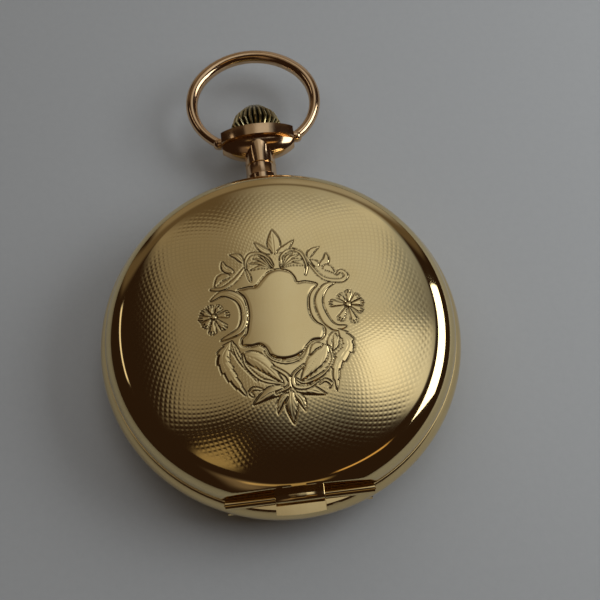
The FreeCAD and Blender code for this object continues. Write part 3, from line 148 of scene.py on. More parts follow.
materials = {
    # 14 carat yellow gold, burnished: warm mirror with a soft haze from the pocket
    "yellow_gold": metal("burnishedYellowGold", {
        "colour": "#EAD29C", "shade": "#E1C488", "haze": 6.0, "roughness": (0.05, 0.1),
        "scratch": 0.5, "relief": 0.12}),
    # the same gold where it is engraved or engine turned: the cuts get a painted dark brown shade
    "engraved_gold": metal("engravedYellowGold", {
        "colour": "#EBD6A2", "shade": "#E3C98E", "haze": 5.0, "roughness": (0.035, 0.07),
        # the last colour here is the painted shade for the cuts
        "scratch": 0.5, "relief": 0.06, "grime": "#2E2010"}),
    # copper-rich rose gold, drawn as wire and polished: redder and a little softer than the case
    "rose_gold": metal("polishedRoseGold", {
        "colour": "#E6C8A2", "shade": "#D3AA7C", "haze": 4.0, "roughness": (0.08, 0.18),
        "scratch": 0.4, "relief": 0.2}),
    # brass under worn gilding: bright on the ribs, with painted shade nearly black between them
    "crown_brass": metal("wornGiltBrassPaintedShade", {
        "colour": "#DCCFA4", "shade": "#B09C5E", "haze": 2.0, "roughness": (0.14, 0.28),
        # the last colour here is the painted shade for the grooves
        "scratch": 0.3, "relief": 0.3, "grime": "#0B0904"}),
    # brass frosted and gilded in the bath: matt and even, with a fine brushed grain
    "gilt_brass": metal("giltBrass", {
        "colour": "#DDB765", "shade": "#C79B47", "haze": 3.0, "roughness": (0.24, 0.36),
        "scratch": 0.15, "relief": 0.35}),
    # hardened steel polished flat on tin: dark grey mirror, as on wheels, screws and jewel settings
    "polished_steel": metal("blackPolishedSteel", {
        "colour": "#B9BBBE", "shade": "#A2A5A9", "haze": 3.0, "roughness": (0.14, 0.26),
        "scratch": 0.15, "relief": 0.25}),
    # tempered strip steel with its rolled grain: duller, for springs, click and yoke
    "spring_steel": metal("temperedSpringSteel", {
        "colour": "#8D9298", "shade": "#777C84", "haze": 2.0, "roughness": (0.24, 0.38),
        "scratch": 0.12, "relief": 0.4}),
    # steel heated to cornflower blue: the oxide film colours every reflection
    "blued_steel": metal("bluedSteel", {
        "colour": "#2C4794", "shade": "#1C2C6B", "haze": 3.0, "roughness": (0.16, 0.28),
        "scratch": 0.15, "relief": 0.25}),
}


def stripedNickel(look):
    # nickel silver plates with damaskeened bands, each band a run of overlapping arcs of fine grain
    material, tree = newMaterial("damaskeenedNickel")
    place = addNode(tree, "ShaderNodeTexCoord").outputs["Object"]
    turned = addNode(tree, "ShaderNodeMapping", inputs={"Vector": place, "Rotation": (0, 0, 0.79)})
    bands = addNode(tree, "ShaderNodeTexWave", {"wave_profile": "SAW"}, {
        "Vector": turned.outputs[0], "Scale": perMetre(look["band"]) / 20 * math.pi, "Distortion": 0.0})
    tone = addNode(tree, "ShaderNodeMix", {"data_type": "RGBA"}, {
        0: bands.outputs["Fac"], 6: linear(look["bright"]), 7: linear(look["dull"])})
    grain = addNode(tree, "ShaderNodeTexNoise", inputs={
        "Vector": addNode(tree, "ShaderNodeMapping", inputs={
            "Vector": turned.outputs[0], "Scale": (1, 0.08, 1)}).outputs[0],
        "Scale": perMetre(look["grain"]), "Detail": 3.0})
    bump = addNode(tree, "ShaderNodeBump", inputs={
        "Height": addNode(tree, "ShaderNodeMath", {"operation": "MULTIPLY_ADD"}, {
            0: bands.outputs["Fac"], 1: 1.5, 2: grain.outputs[0]}).outputs[0],
        "Strength": 0.5, "Distance": 0.02 * mm})
    rough = addNode(tree, "ShaderNodeMapRange", inputs={0: grain.outputs[0], 3: 0.2, 4: 0.36})
    finishMaterial(tree, {"Base Color": tone.outputs[2], "Metallic": 1.0,
                          "Roughness": rough.outputs[0], "Normal": bump.outputs[0]})
    return material


def enamel(look):
    # glass fired on copper: hard white gloss with the faintest orange peel and specks
    material, tree = newMaterial("firedEnamel")
    place = addNode(tree, "ShaderNodeTexCoord").outputs["Object"]
    peel = addNode(tree, "ShaderNodeTexNoise", inputs={"Vector": place, "Scale": perMetre(look["peel"])})
    tone = addNode(tree, "ShaderNodeMix", {"data_type": "RGBA"}, {
        0: peel.outputs[0], 6: linear(look["white"]), 7: linear(look["cream"])})
    bump = addNode(tree, "ShaderNodeBump", inputs={
        "Height": peel.outputs[0], "Strength": 0.15, "Distance": 0.01 * mm})
    finishMaterial(tree, {"Base Color": tone.outputs[2], "Roughness": 0.12, "IOR": 1.52,
                          "Coat Weight": 0.4, "Coat Roughness": 0.03, "Normal": bump.outputs[0]})
    return material


def paint(name, colour):
    # black enamel ink, fired a little proud of the dial
    material, tree = newMaterial(name)
    place = addNode(tree, "ShaderNodeTexCoord").outputs["Object"]
    pool = addNode(tree, "ShaderNodeTexNoise", inputs={"Vector": place, "Scale": perMetre(0.4)})
    rough = addNode(tree, "ShaderNodeMapRange", inputs={0: pool.outputs[0], 3: 0.2, 4: 0.4})
    finishMaterial(tree, {"Base Color": linear(colour), "Roughness": rough.outputs[0]})
    return material


def clear(name, look):
    # glass or ruby: a few fine wipe marks are all that shows on the surface
    material, tree = newMaterial(name)
    place = addNode(tree, "ShaderNodeTexCoord").outputs["Object"]
    wipe = addNode(tree, "ShaderNodeTexNoise", inputs={"Vector": place, "Scale": perMetre(look["wipe"])})
    rough = addNode(tree, "ShaderNodeMapRange", inputs={0: wipe.outputs[0], 3: 0.0, 4: 0.06})
    finishMaterial(tree, {"Base Color": linear(look["colour"]), "Roughness": rough.outputs[0],
                          "IOR": look["ior"], "Transmission Weight": look["transmission"]})
    return material


materials["nickel"] = stripedNickel({"band": 1.6, "grain": 0.08, "bright": "#D8D4C8", "dull": "#B3AFA3"})
materials["enamel"] = enamel({"peel": 0.5, "white": "#F4F1E8", "cream": "#ECE7D9"})
materials["mineral_glass"] = clear("mineralGlass", {
    "colour": "#FFFFFF", "wipe": 3.0, "ior": 1.5, "transmission": 1.0})
materials["ruby"] = clear("syntheticRuby", {
    "colour": "#C2184A", "wipe": 0.5, "ior": 1.76, "transmission": 0.6})
inkBlack = paint("firedBlackInk", "#15130F")


# the record's slots give every node that CAD shows its material
slotOf = {part["node"]: part["material_slot"] for part in frame["record"]["subparts"]}
for name, node in frame["nodes"].items():
    slotName = "crown_brass" if name == "crown" else slotOf[name]
    node.data.materials.clear()
    node.data.materials.append(materials[slotName])
print("materials:", len(materials))


def addPiece(name, mesh, body, material, replaces=()):
    piece = bpy.data.objects.new(name, mesh)
    bpy.context.collection.objects.link(piece)
    if material is not None:
        mesh.materials.clear()
        mesh.materials.append(material)
    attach(piece, body)
    if replaces:
        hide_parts(*replaces)


def meshFrom(name, points, faces, smooth=True):
    mesh = bpy.data.meshes.new(name)
    mesh.from_pydata((np.asarray(points) * mm).tolist(), [], faces)
    mesh.update()
    if smooth:
        mesh.shade_smooth()
        mesh.set_sharp_from_angle(angle=math.radians(50))
    return mesh


def smoothCopy(nodeName, pieceName, angle=32):
    # a merged copy of a CAD node: rounded faces shade as one surface, real edges stay crisp
    source = frame["nodes"][nodeName]
    work = bmesh.new()
    work.from_mesh(source.data)
    bmesh.ops.remove_doubles(work, verts=work.verts, dist=0.0005 * mm)
    limit = math.radians(angle)
    for edge in work.edges:
        edge.smooth = len(edge.link_faces) == 2 and edge.calc_face_angle(math.pi) < limit
    for face in work.faces:
        face.smooth = True
    mesh = bpy.data.meshes.new(pieceName)
    work.to_mesh(mesh)
    work.free()
    slotName = slotOf[nodeName]
    addPiece(pieceName, mesh, bodyOf[nodeName], materials[slotName], (nodeName,))


# the covers are spun domes with their relief cut in: rings of mesh, one inside another
engineTurning = {
    "spirals": 120,  # cuts each way round
    "row": 0.4,  # millimetres from one row of lozenges to the next
    "depth": 0.005,
    "samples": 8,  # points across one lozenge
}


def smoothstep(low, high, value):
    t = np.clip((value - low) / (high - low), 0, 1)
    return t * t * (3 - 2 * t)


def lozenges(x, y):
    # crossing spirals leave small rounded grains: 0 in a cut, 1 on a crown
    r, turn = np.hypot(x, y), np.arctan2(y, x) / (2 * math.pi)
    u = r / (2 * engineTurning["row"]) + engineTurning["spirals"] * turn
    v = r / (2 * engineTurning["row"]) - engineTurning["spirals"] * turn
    return 1 - np.maximum(abs(np.cos(np.pi * u)), abs(np.cos(np.pi * v))) ** 3


def smoothLine(points, samples=28, closed=False):
    # a Catmull-Rom curve through given points
    p = np.array(points, float)
    if closed:
        p = np.vstack([p[-1:], p, p[:2]])
    else:
        p = np.vstack([2 * p[0] - p[1], p, 2 * p[-1] - p[-2]])
    spans = len(p) - 3
    t = np.linspace(0, spans, samples * (spans if closed else 1), endpoint=not closed)
    i = np.minimum(t.astype(int), spans - 1)
    f = (t - i)[:, None]
    a, b, c, d = p[i], p[i + 1], p[i + 2], p[i + 3]
    return 0.5 * (2 * b + (c - a) * f + (2 * a - 5 * b + 4 * c - d) * f**2 + (3 * b - a - 3 * c + d) * f**3)


# the engraver's wreath, in millimetres on the lid: leaves as (width, spine points)
wreath = {
    "leaves": [
        (0.95, [(0.3, 10.1), (0.35, 12.0), (0.3, 14.0)]),
        (0.5, [(-0.2, 10.2), (-1.3, 10.9), (-2.4, 12.2)]),
        (0.5, [(0.7, 10.2), (2.0, 10.9), (3.2, 12.0)]),
        (0.45, [(-4.2, 9.2), (-5.0, 10.3), (-6.1, 10.7)]),
        (0.5, [(-5.7, 7.9), (-6.9, 8.6), (-7.2, 9.8)]),
        (0.55, [(-6.3, 7.4), (-7.6, 7.2), (-8.6, 5.9)]),
        (0.45, [(4.9, 8.9), (5.6, 9.9), (6.7, 10.5)]),
        (0.5, [(6.4, 7.5), (7.4, 8.2), (7.6, 9.5)]),
        (0.45, [(6.2, 7.4), (5.8, 8.0), (5.2, 8.6)]),
        (0.55, [(6.8, 7.0), (7.6, 7.0), (8.5, 6.0)]),
        (0.45, [(-6.9, -2.6), (-6.5, -3.9), (-5.7, -5.0)]),
        (1.05, [(-5.5, -4.4), (-3.2, -5.9), (-0.6, -8.9)]),
        (0.45, [(7.3, -2.6), (6.4, -3.9), (6.3, -5.5)]),
        (0.5, [(7.2, -2.9), (7.2, -4.3), (6.6, -5.4)]),
        (1.15, [(5.9, -4.4), (4.1, -6.4), (1.8, -9.0)]),
        (0.5, [(5.3, -4.2), (4.2, -4.5), (3.4, -5.6)]),
        (0.8, [(-0.3, -10.0), (-2.4, -10.2), (-4.8, -11.5)]),
        (0.75, [(0.9, -10.0), (2.7, -10.3), (5.0, -11.2)]),
        (0.85, [(0.3, -10.2), (0.2, -12.2), (0.3, -14.7)]),
        (0.5, [(-0.1, -10.5), (-1.1, -11.5), (-1.7, -13.1)]),
        (0.5, [(0.8, -10.5), (1.6, -11.6), (2.0, -13.1)]),
    ],
    "serrated": [
        (0.85, [(-7.0, -2.4), (-8.3, -4.6), (-7.4, -7.3), (-5.6, -10.2)]),
        (0.85, [(7.8, -2.3), (8.9, -4.6), (6.9, -7.4), (6.5, -10.9)]),
    ],
    "scrolls": [
        (0.34, [(-4.0, 8.5), (-5.6, 6.7), (-7.4, 5.6), (-9.1, 5.6)]),
        (0.24, [(-3.9, 8.0), (-3.6, 6.9), (-3.5, 6.2)]),
        (0.34, [(4.9, 8.1), (6.6, 5.6), (9.0, 4.9), (10.0, 5.6), (9.3, 6.4), (8.6, 5.9)]),
        (0.24, [(4.3, 6.3), (4.6, 7.8), (4.0, 9.7), (2.9, 10.4), (1.9, 10.0)]),
        (0.24, [(1.0, 8.3), (1.2, 9.5), (2.0, 10.3), (3.1, 10.5)]),
        (0.24, [(-0.1, 8.3), (-0.7, 9.5), (-1.9, 10.4), (-3.2, 10.4), (-3.9, 9.4), (-4.0, 8.2)]),
        (0.22, [(-6.9, -2.4), (-6.2, -5.0), (-4.4, -7.6), (-4.0, -8.3)]),
        (0.22, [(-5.6, -4.4), (-5.2, -6.2), (-3.3, -8.3), (-0.6, -9.1)]),
        (0.22, [(6.2, -4.6), (6.4, -6.6), (4.9, -8.4), (2.4, -9.3), (1.2, -8.7)]),
        (0.3, [(-1.8, -6.6), (0.1, -8.2), (0.2, -9.6), (-1.6, -10.3)]),
        (0.3, [(2.5, -6.9), (0.9, -8.2), (1.0, -9.7), (2.7, -10.0), (4.2, -9.2)]),
        (0.24, [(-3.5, -9.6), (-4.6, -9.4), (-5.1, -9.9), (-4.7, -10.4)]),
        (0.24, [(4.3, -9.7), (5.1, -9.3), (5.8, -9.8), (5.6, -10.4)]),
        (0.2, [(3.2, -4.3), (2.0, -5.9), (0.3, -6.3), (-1.5, -5.7), (-2.6, -4.4)]),
    ],
    "crescents": [
        (0.62, [(-9.3, 3.9), (-7.4, 4.8), (-5.3, 3.7), (-4.7, 1.4), (-5.6, -0.9), (-8.3, -2.1)]),
        (0.62, [(8.3, 4.8), (6.6, 4.0), (5.6, 2.0), (6.2, -0.6), (7.4, -2.0), (9.0, -2.0)]),
    ],
    "fans": [
        {"hub": (-0.2, 7.9), "tips": [(-3.4, 7.9), (-3.5, 9.0), (-2.9, 9.7), (-2.0, 10.0), (-1.2, 9.7)]},
        {"hub": (0.9, 7.9), "tips": [(4.1, 7.8), (4.2, 8.8), (3.7, 9.6), (2.8, 9.9), (1.8, 9.6)]},
    ],
    "flowers": [  # petals as (reach, direction in degrees)
        {"centre": (-9.1, 1.5), "petals": [(1.9, 55), (1.8, 105), (1.9, 150), (2.0, 185),
                                           (2.0, 222), (2.6, 262), (2.5, 308), (2.2, 5)]},
        {"centre": (9.6, 1.2), "petals": [(2.0, 125), (2.2, 78), (2.2, 38), (2.3, 5),
                                          (2.3, 330), (2.9, 285), (2.7, 238), (2.6, 170)]},
    ],
}
# the plain shield's outline, clockwise from the left of its top
shield = [
    (-2.0, 6.3), (-0.9, 7.3), (0.6, 7.6), (2.0, 7.1), (2.7, 6.1), (3.0, 5.3), (4.2, 5.3), (5.7, 4.7),
    (4.9, 3.8), (4.4, 2.9), (4.2, 1.4), (4.4, 0.0), (5.0, -1.0), (5.9, -1.7), (5.9, -2.7), (5.3, -3.5),
    (4.2, -3.6), (3.3, -4.2), (2.6, -5.0), (1.6, -5.6), (0.3, -5.8), (-1.0, -5.6), (-1.9, -5.0),
    (-2.4, -4.0), (-3.2, -3.4), (-4.4, -3.5), (-5.6, -3.2), (-5.6, -2.3), (-4.9, -1.5), (-4.5, 0.0),
    (-4.3, 1.4), (-4.4, 2.9), (-4.8, 4.1), (-5.5, 5.0), (-4.2, 5.3), (-2.9, 5.4),
]
# depths and widths of the graver's cuts, and how far a leaf swells above the lid
cutting = {"outline": 0.05, "outlineWidth": 0.065, "swell": 0.035, "vein": 0.022, "veinWidth": 0.055}


def nearLine(x, y, line):
    # distance to a curve and how far along it the nearest place is, from 0 to 1
    best = np.full(len(x), 1e9)
    along = np.zeros(len(x))
    for i in range(len(line) - 1):
        a, d = line[i], line[i + 1] - line[i]
        t = np.clip(((x - a[0]) * d[0] + (y - a[1]) * d[1]) / max(d @ d, 1e-12), 0, 1)
        gap = np.hypot(x - a[0] - t * d[0], y - a[1] - t * d[1])
        nearer = gap < best
        best[nearer] = gap[nearer]
        along[nearer] = ((i + t) / (len(line) - 1))[nearer]
    return best, along


class Relief:
    # height and painted shade over the points of a cover, built up one cut at a time

    def __init__(self, x, y):
        self.x, self.y = x, y
        self.height = np.zeros(len(x))
        self.plain = np.zeros(len(x))  # 1 where engine turning is left out
        # painted shade in the cuts, from 0 to 1
        self.grime = np.zeros(len(x))

    def stroke(self, points, width, taper, vein=True, teeth=0):
        line = smoothLine(points)
        low, high = line.min(0) - width - 0.4, line.max(0) + width + 0.4
        inX = (self.x > low[0]) & (self.x < high[0])
        near = np.where(inX & (self.y > low[1]) & (self.y < high[1]))[0]
        if not len(near):
            return
        gap, along = nearLine(self.x[near], self.y[near], line)
        half = width * taper(along)
        if teeth:
            half = half * (0.8 + 0.35 * ((along * teeth) % 1))
        inside = smoothstep(0.04, -0.04, gap - half)
        share = np.clip(gap / np.maximum(half, 0.02), 0, 1)
        swell = cutting["swell"] * min(width / 0.6, 1) * (1 - share**2)
        if vein:
            fine = np.exp(-((gap / cutting["veinWidth"]) ** 2)) * smoothstep(1.0, 0.75, along)
            swell = swell - cutting["vein"] * fine
            # painted shade along the vein's groove
            self.grime[near] = np.maximum(self.grime[near], 0.55 * fine * inside)
            side = 0.5 + 0.5 * np.cos(gap * 14 - along * 26)
            swell = swell - 0.012 * side * share
        edge = np.exp(-(((gap - half) / cutting["outlineWidth"]) ** 2))
        self.height[near] = self.height[near] * (1 - inside) + swell * inside
        self.height[near] -= cutting["outline"] * edge
        self.plain[near] = np.maximum(self.plain[near], np.maximum(inside, edge))
        # painted shade along the cut outline
        self.grime[near] = np.maximum(self.grime[near] * (1 - inside), 0.9 * edge**2)

    def boss(self, centre, radius, rise):
        gap = np.hypot(self.x - centre[0], self.y - centre[1])
        near = gap < radius + 0.3
        dome = rise * np.sqrt(np.clip(1 - (gap[near] / radius) ** 2, 0, 1))
        edge = np.exp(-(((gap[near] - radius) / 0.07) ** 2))
        inside = gap[near] < radius
        self.height[near] = np.where(inside, dome, self.height[near]) - 0.07 * edge
        self.plain[near] = 1
        # painted shade in the cut round the boss
        self.grime[near] = np.maximum(np.where(inside, 0, self.grime[near]), 0.9 * edge)

    def panel(self, outline, ground, rise, bevel):
        # a raised, polished shield with a soft bevel and a cut round it
        line = smoothLine(outline, 6, closed=True)
        gap, _ = nearLine(self.x, self.y, np.vstack([line, line[:1]]))
        inside = np.zeros(len(self.x), bool)
        for (ax, ay), (bx, by) in zip(line, np.roll(line, -1, axis=0)):
            crosses = (ay > self.y) != (by > self.y)
            if ay != by:
                inside ^= crosses & (self.x < (bx - ax) * (self.y - ay) / (by - ay) + ax)
        signed = np.where(inside, gap, -gap)
        edge = np.exp(-((signed / 0.09) ** 2))
        top = ground + (rise - ground) * smoothstep(0, bevel, signed)
        self.height = np.where(inside, top, self.height) - 0.05 * edge
        self.plain = np.maximum(self.plain, smoothstep(-0.15, 0.0, signed))
        # painted shade in the cut round the shield
        self.grime = np.where(inside, 0, self.grime) + 0.35 * edge


def leafTaper(t):
    return np.sin(np.pi * np.clip(t, 0, 1) ** 0.75) ** 0.8 + 0.04


def scrollTaper(t):
    return 0.45 + 0.55 * np.sin(np.pi * np.clip(t, 0, 1)) ** 0.7


def crescentTaper(t):
    return np.sin(np.pi * np.clip(t, 0, 1)) ** 0.6 * 0.9 + 0.12


def petalTaper(t):
    return np.clip(0.18 + 0.9 * t**1.1, 0, 1) * np.sqrt(np.clip(1 - t**14, 0, 1))


def engraveWreath(relief):
    for width, points in wreath["crescents"]:
        relief.stroke(points, width, crescentTaper)
    for flower in wreath["flowers"]:
        cx, cy = flower["centre"]
        for reach, angle in flower["petals"]:
            away = np.array([math.cos(math.radians(angle)), math.sin(math.radians(angle))])
            start, tip = np.array([cx, cy]) + away * 0.3, np.array([cx, cy]) + away * reach
            relief.stroke([start, (start + tip) / 2, tip], 0.62, petalTaper)
            for spread in (-0.2, 0.2):  # notches at the petal's edge
                side = np.array([-away[1], away[0]]) * spread
                relief.stroke([tip - away * 0.45 + side, tip - away * 0.2 + side, tip + away * 0.05 + side],
                              0.05, leafTaper, vein=False)
        relief.boss(flower["centre"], 0.42, 0.09)
    for fan in wreath["fans"]:
        for tip in fan["tips"]:
            hub = np.array(fan["hub"])
            bow = (hub + np.array(tip)) / 2 + np.array([0, 0.35])
            relief.stroke([hub, bow, tip], 0.26, leafTaper, vein=False)
    for width, points in wreath["serrated"]:
        relief.stroke(points, width, leafTaper, teeth=7)
    for width, points in wreath["leaves"]:
        relief.stroke(points, width, leafTaper)
    for width, points in wreath["scrolls"]:
        relief.stroke(points, width, scrollTaper, vein=False)
    relief.panel(shield, -0.05, 0.0, 0.6)


def stitchRings(outer, inner):
    # faces between two closed rings of points, of equal count or two to one
    faces = []
    n, k = len(outer), len(inner)
    if n == k:
        for i in range(n):
            j = (i + 1) % n
            faces.append((outer[i], outer[j], inner[j], inner[i]))
    elif n == 2 * k:
        for i in range(k):
            j = (i + 1) % k
            a, b, c = outer[2 * i], outer[2 * i + 1], outer[(2 * i + 2) % n]
            faces += [(a, b, inner[i]), (b, inner[j], inner[i]), (b, c, inner[j])]
    else:
        for i in range(n):  # one to two
            j = (i + 1) % n
            a, b, c = inner[2 * i], inner[2 * i + 1], inner[(2 * i + 2) % k]
            faces += [(outer[i], b, a), (outer[i], outer[j], b), (outer[j], c, b)]
    return faces


class Spun:
    # points in rings from the inside of a shape round to where it closes

    def __init__(self):
        self.points, self.rings, self.faces = [], [], []
        self.count = 0

    def ring(self, radius, height, count):
        turn = np.arange(count) * 2 * math.pi / count
        self.points.append(np.stack([
            radius * np.cos(turn), radius * np.sin(turn), np.full(count, float(height))], -1))
        self.rings.append(list(range(self.count, self.count + count)))
        self.count += count
        if len(self.rings) > 1:
            self.faces += stitchRings(self.rings[-1], self.rings[-2])

    def cap(self, height, first):
        # closes a ring to a point on the axis
        ring = self.rings[0] if first else self.rings[-1]
        self.points.append(np.array([[0.0, 0.0, height]]))
        for i in range(len(ring)):
            j = (i + 1) % len(ring)
            self.faces.append((ring[i], ring[j], self.count) if first else (ring[j], ring[i], self.count))
        self.count += 1

    def close(self):
        self.faces += stitchRings(self.rings[0], self.rings[-1])


hinge = [value * 1000 for value in joints["front_lid_hinge"]["pos_m"]]
backHinge = [value * 1000 for value in joints["back_lid_hinge"]["pos_m"]]
lidBox = [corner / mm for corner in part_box("front_cover")]
covers = {
    "front": {
        "radius": lidBox[1].x, "rim": hinge[2] + 0.05, "top": lidBox[1].z, "dome": 190.0, "shoulder": 3.8,
        "wall": 0.5, "chord": 22.6, "flat": 0.0, "up": 1,
        "seam": 14.4, "fine": 7.2, "plainRim": (19.9, 21.3), "plainCentre": (8.2, 8.8)},
    "back": {
        "radius": lidBox[1].x, "rim": -(backHinge[2] - 0.05), "top": 0.0, "dome": 150.0, "shoulder": 2.6,
        "wall": 0.5, "chord": 22.6, "flat": 9.0, "up": -1,
        "seam": 15.2, "fine": 6.0, "plainRim": (20.2, 21.6), "plainCentre": (8.6, 9.0)},
}


def coverSection(spec, wall):
    # the cover's section at a depth below its skin: its height over the radius, and the shoulder's arc
    centre = spec["top"] - math.sqrt(spec["dome"] ** 2 - spec["flat"] ** 2)
    reach = spec["radius"] - spec["shoulder"]
    shoulderZ = centre + math.sqrt((spec["dome"] - spec["shoulder"]) ** 2 - reach**2)
    dome, shoulder = spec["dome"] - wall, spec["shoulder"] - wall
    joint = reach * dome / (spec["dome"] - spec["shoulder"])

    def height(r):
        r = np.asarray(r, float)
        z = centre + np.sqrt(np.maximum(dome**2 - r**2, 0))
        out = r > joint
        z = np.where(out, shoulderZ + np.sqrt(np.maximum(shoulder**2 - (r - reach) ** 2, 0)), z)
        return np.minimum(z, spec["top"] - wall)

    return height, reach, shoulder, shoulderZ, joint


def ringsBetween(start, end, step):
    return np.linspace(start, end, max(int(round(abs(end - start) / step)), 1) + 1)


def coverPoints(spun, spec, reliefOf):
    # cuts the relief into the skin, flattens the side at the hinge and turns a back cover over
    points = np.vstack(spun.points)
    x, y = points[:, 0].copy(), points[:, 1].copy()
    r = np.hypot(x, y)
    skin = coverSection(spec, 0)[0](r)
    onTop = abs(points[:, 2] - skin) < 1e-6
    relief = reliefOf(x[onTop], y[onTop], r[onTop])
    points[onTop, 2] += relief.height
    # the relief's painted shade goes onto the skin's points only
    grime = np.zeros(len(points))
    grime[onTop] = np.clip(relief.grime, 0, 1)
    depth = skin - points[:, 2]
    inner = (r < spec["radius"] - spec["wall"] + 0.01) & (depth > spec["wall"] - 0.05)
    chord = np.where(inner, spec["chord"] - spec["wall"], spec["chord"])
    points[:, 1] = np.maximum(points[:, 1], -chord)
    if spec["up"] < 0:
        points[:, 2] *= -1
        spun.faces = [face[::-1] for face in spun.faces]
    return points, grime


def frontRelief(x, y, r):
    relief = Relief(x, y)
    engraveWreath(relief)
    spec = covers["front"]
    inWreath = smoothstep(1.04, 0.98, np.hypot((x - 0.3) / 7.6, (y - 0.2) / 8.6))
    plain = np.maximum(relief.plain, inWreath)
    turned = (1 - np.clip(plain, 0, 1)) * smoothstep(spec["plainRim"][1], spec["plainRim"][0], r)
    low = 1 - lozenges(x, y)
    relief.height -= engineTurning["depth"] * low * turned
    # painted shade in the low parts of the lozenges
    relief.grime = np.maximum(relief.grime, 0.1 * smoothstep(0.6, 1.0, low) * turned)
    return relief


def backRelief(x, y, r):
    relief = Relief(x, y)
    spec = covers["back"]
    turned = smoothstep(spec["plainRim"][1], spec["plainRim"][0], r)
    turned = turned * smoothstep(spec["plainCentre"][0], spec["plainCentre"][1], r)
    low = 1 - lozenges(x, y)
    relief.height -= engineTurning["depth"] * low * turned
    # painted shade in the low parts of the lozenges
    relief.grime = 0.1 * smoothstep(0.6, 1.0, low) * turned
    return relief


def centreOfCover(spec, reliefOf):
    # the middle of a cover, closed below and round its seam
    skin, *_ = coverSection(spec, 0)
    under, *_ = coverSection(spec, spec["wall"])
    around = engineTurning["spirals"] * engineTurning["samples"]
    spun = Spun()
    for r, count in [(2.0, around // 8), (6.0, around // 8), (10.0, around // 8), (10.8, around // 8),
                     (spec["seam"] - 0.8, around // 4), (spec["seam"] - 0.4, around // 2),
                     (spec["seam"], around)]:
        spun.ring(r, under(r), count)
    for r in ringsBetween(spec["seam"], spec["fine"], 0.12):
        spun.ring(r, skin(r), around)
    for r in ringsBetween(spec["fine"], spec["fine"] / 2, 0.12)[1:]:
        spun.ring(r, skin(r), around // 2)
    for r in ringsBetween(spec["fine"] / 2, spec["fine"] / 4, 0.12)[1:]:
        spun.ring(r, skin(r), around // 4)
    for r in ringsBetween(spec["fine"] / 4, 0.3, 0.3)[1:]:
        spun.ring(r, skin(r), around // 8)
    spun.cap(float(under(0)), True)
    spun.cap(float(skin(0)), False)
    return coverPoints(spun, spec, reliefOf), spun.faces


def outerCover(spec, reliefOf):
    # from the seam out over the shoulder, round the lip and back along the inside
    skin, reach, shoulder, shoulderZ, joint = coverSection(spec, 0)
    under, _, innerShoulder, _, innerJoint = coverSection(spec, spec["wall"])
    around = engineTurning["spirals"] * engineTurning["samples"]
    rim = spec["rim"]
    spun = Spun()
    for r in ringsBetween(spec["seam"], joint, 0.1):
        spun.ring(r, skin(r), around)
    startAngle = math.acos((joint - reach) / shoulder)
    endAngle = math.asin(max((rim - shoulderZ) / shoulder, 0))
    for angle in np.linspace(startAngle, endAngle, 26)[1:]:
        r = reach + shoulder * math.cos(angle)
        spun.ring(r, shoulderZ + shoulder * math.sin(angle), around // 2)
    outer, inside = spec["radius"], spec["radius"] - spec["wall"]
    if rim < shoulderZ - 1e-6:
        spun.ring(outer, rim + 0.06, around // 2)
    spun.ring(outer - 0.04, rim + 0.015, around // 2)
    spun.ring(outer - 0.1, rim, around // 2)
    spun.ring(inside + 0.06, rim, around // 2)
    spun.ring(inside, rim + 0.04, around // 2)
    for angle in np.linspace(0.05, math.acos((innerJoint - reach) / innerShoulder), 12):
        height = shoulderZ + innerShoulder * math.sin(angle)
        if height > rim + 0.08:
            spun.ring(reach + innerShoulder * math.cos(angle), height, around // 4)
    for r in ringsBetween(innerJoint, spec["seam"] + 0.8, 2.0)[1:]:
        spun.ring(r, under(r), around // 4)
    spun.ring(spec["seam"] + 0.4, under(spec["seam"] + 0.4), around // 2)
    spun.ring(spec["seam"], under(spec["seam"]), around)
    spun.close()
    spun.faces = [face[::-1] for face in spun.faces]
    return coverPoints(spun, spec, reliefOf), spun.faces


def addCover(name, spec, reliefOf, body, node):
    for part, maker in (("Centre", centreOfCover), ("Shell", outerCover)):
        (points, grime), faces = maker(spec, reliefOf)
        mesh = meshFrom(name + part, points, faces)
        # the painted shade is kept on the mesh for the material to read
        attribute = mesh.attributes.new("grime", "FLOAT", "POINT")
        attribute.data.foreach_set("value", grime.astype(np.float32))
        addPiece(name + part, mesh, body, materials["engraved_gold"], (node,))
        print(name + part, "points", len(points))


addCover("frontCover", covers["front"], frontRelief, "front_lid", "front_cover")
addCover("backCover", covers["back"], backRelief, "back_lid", "back_cover")


def treeInputs(tree, sockets):
    # named inputs of a node tree, and a group input node that carries them
    tree.interface.new_socket("Geometry", in_out="INPUT", socket_type="NodeSocketGeometry")
    for name, kind in sockets.items():
        tree.interface.new_socket(name, in_out="INPUT", socket_type=kind)
    tree.interface.new_socket("Geometry", in_out="OUTPUT", socket_type="NodeSocketGeometry")
    return addNode(tree, "NodeGroupInput").outputs


def finishTree(tree, geometry, material):
    real = addNode(tree, "GeometryNodeRealizeInstances", inputs={0: geometry}).outputs[0]
    merged = addNode(tree, "GeometryNodeMergeByDistance", inputs={
        "Geometry": real, "Distance": 0.002 * mm}).outputs[0]
    painted = addNode(tree, "GeometryNodeSetMaterial", inputs={"Geometry": merged, "Material": material})
    addNode(tree, "NodeGroupOutput", inputs={0: painted.outputs[0]})


def growMesh(name, seed, tree, values):
    # the seed mesh run through the tree, as a plain mesh
    carrier = bpy.data.objects.new(name + "Carrier", seed)
    bpy.context.collection.objects.link(carrier)
    modifier = carrier.modifiers.new(name, "NODES")
    modifier.node_group = tree
    for item in tree.interface.items_tree:
        if item.name in values:
            modifier[item.identifier] = values[item.name]
    bpy.context.view_layer.update()
    evaluated = carrier.evaluated_get(bpy.context.evaluated_depsgraph_get())
    mesh = bpy.data.meshes.new_from_object(evaluated)
    bpy.data.objects.remove(carrier)
    return mesh


crown = {
    "ribs": 28,
    "groove": 0.46,  # depth at the widest part
    "ridge": 0.2,  # share of a rib's width that stays at full height
    "cap": 1.2,  # radius of the plain top
}


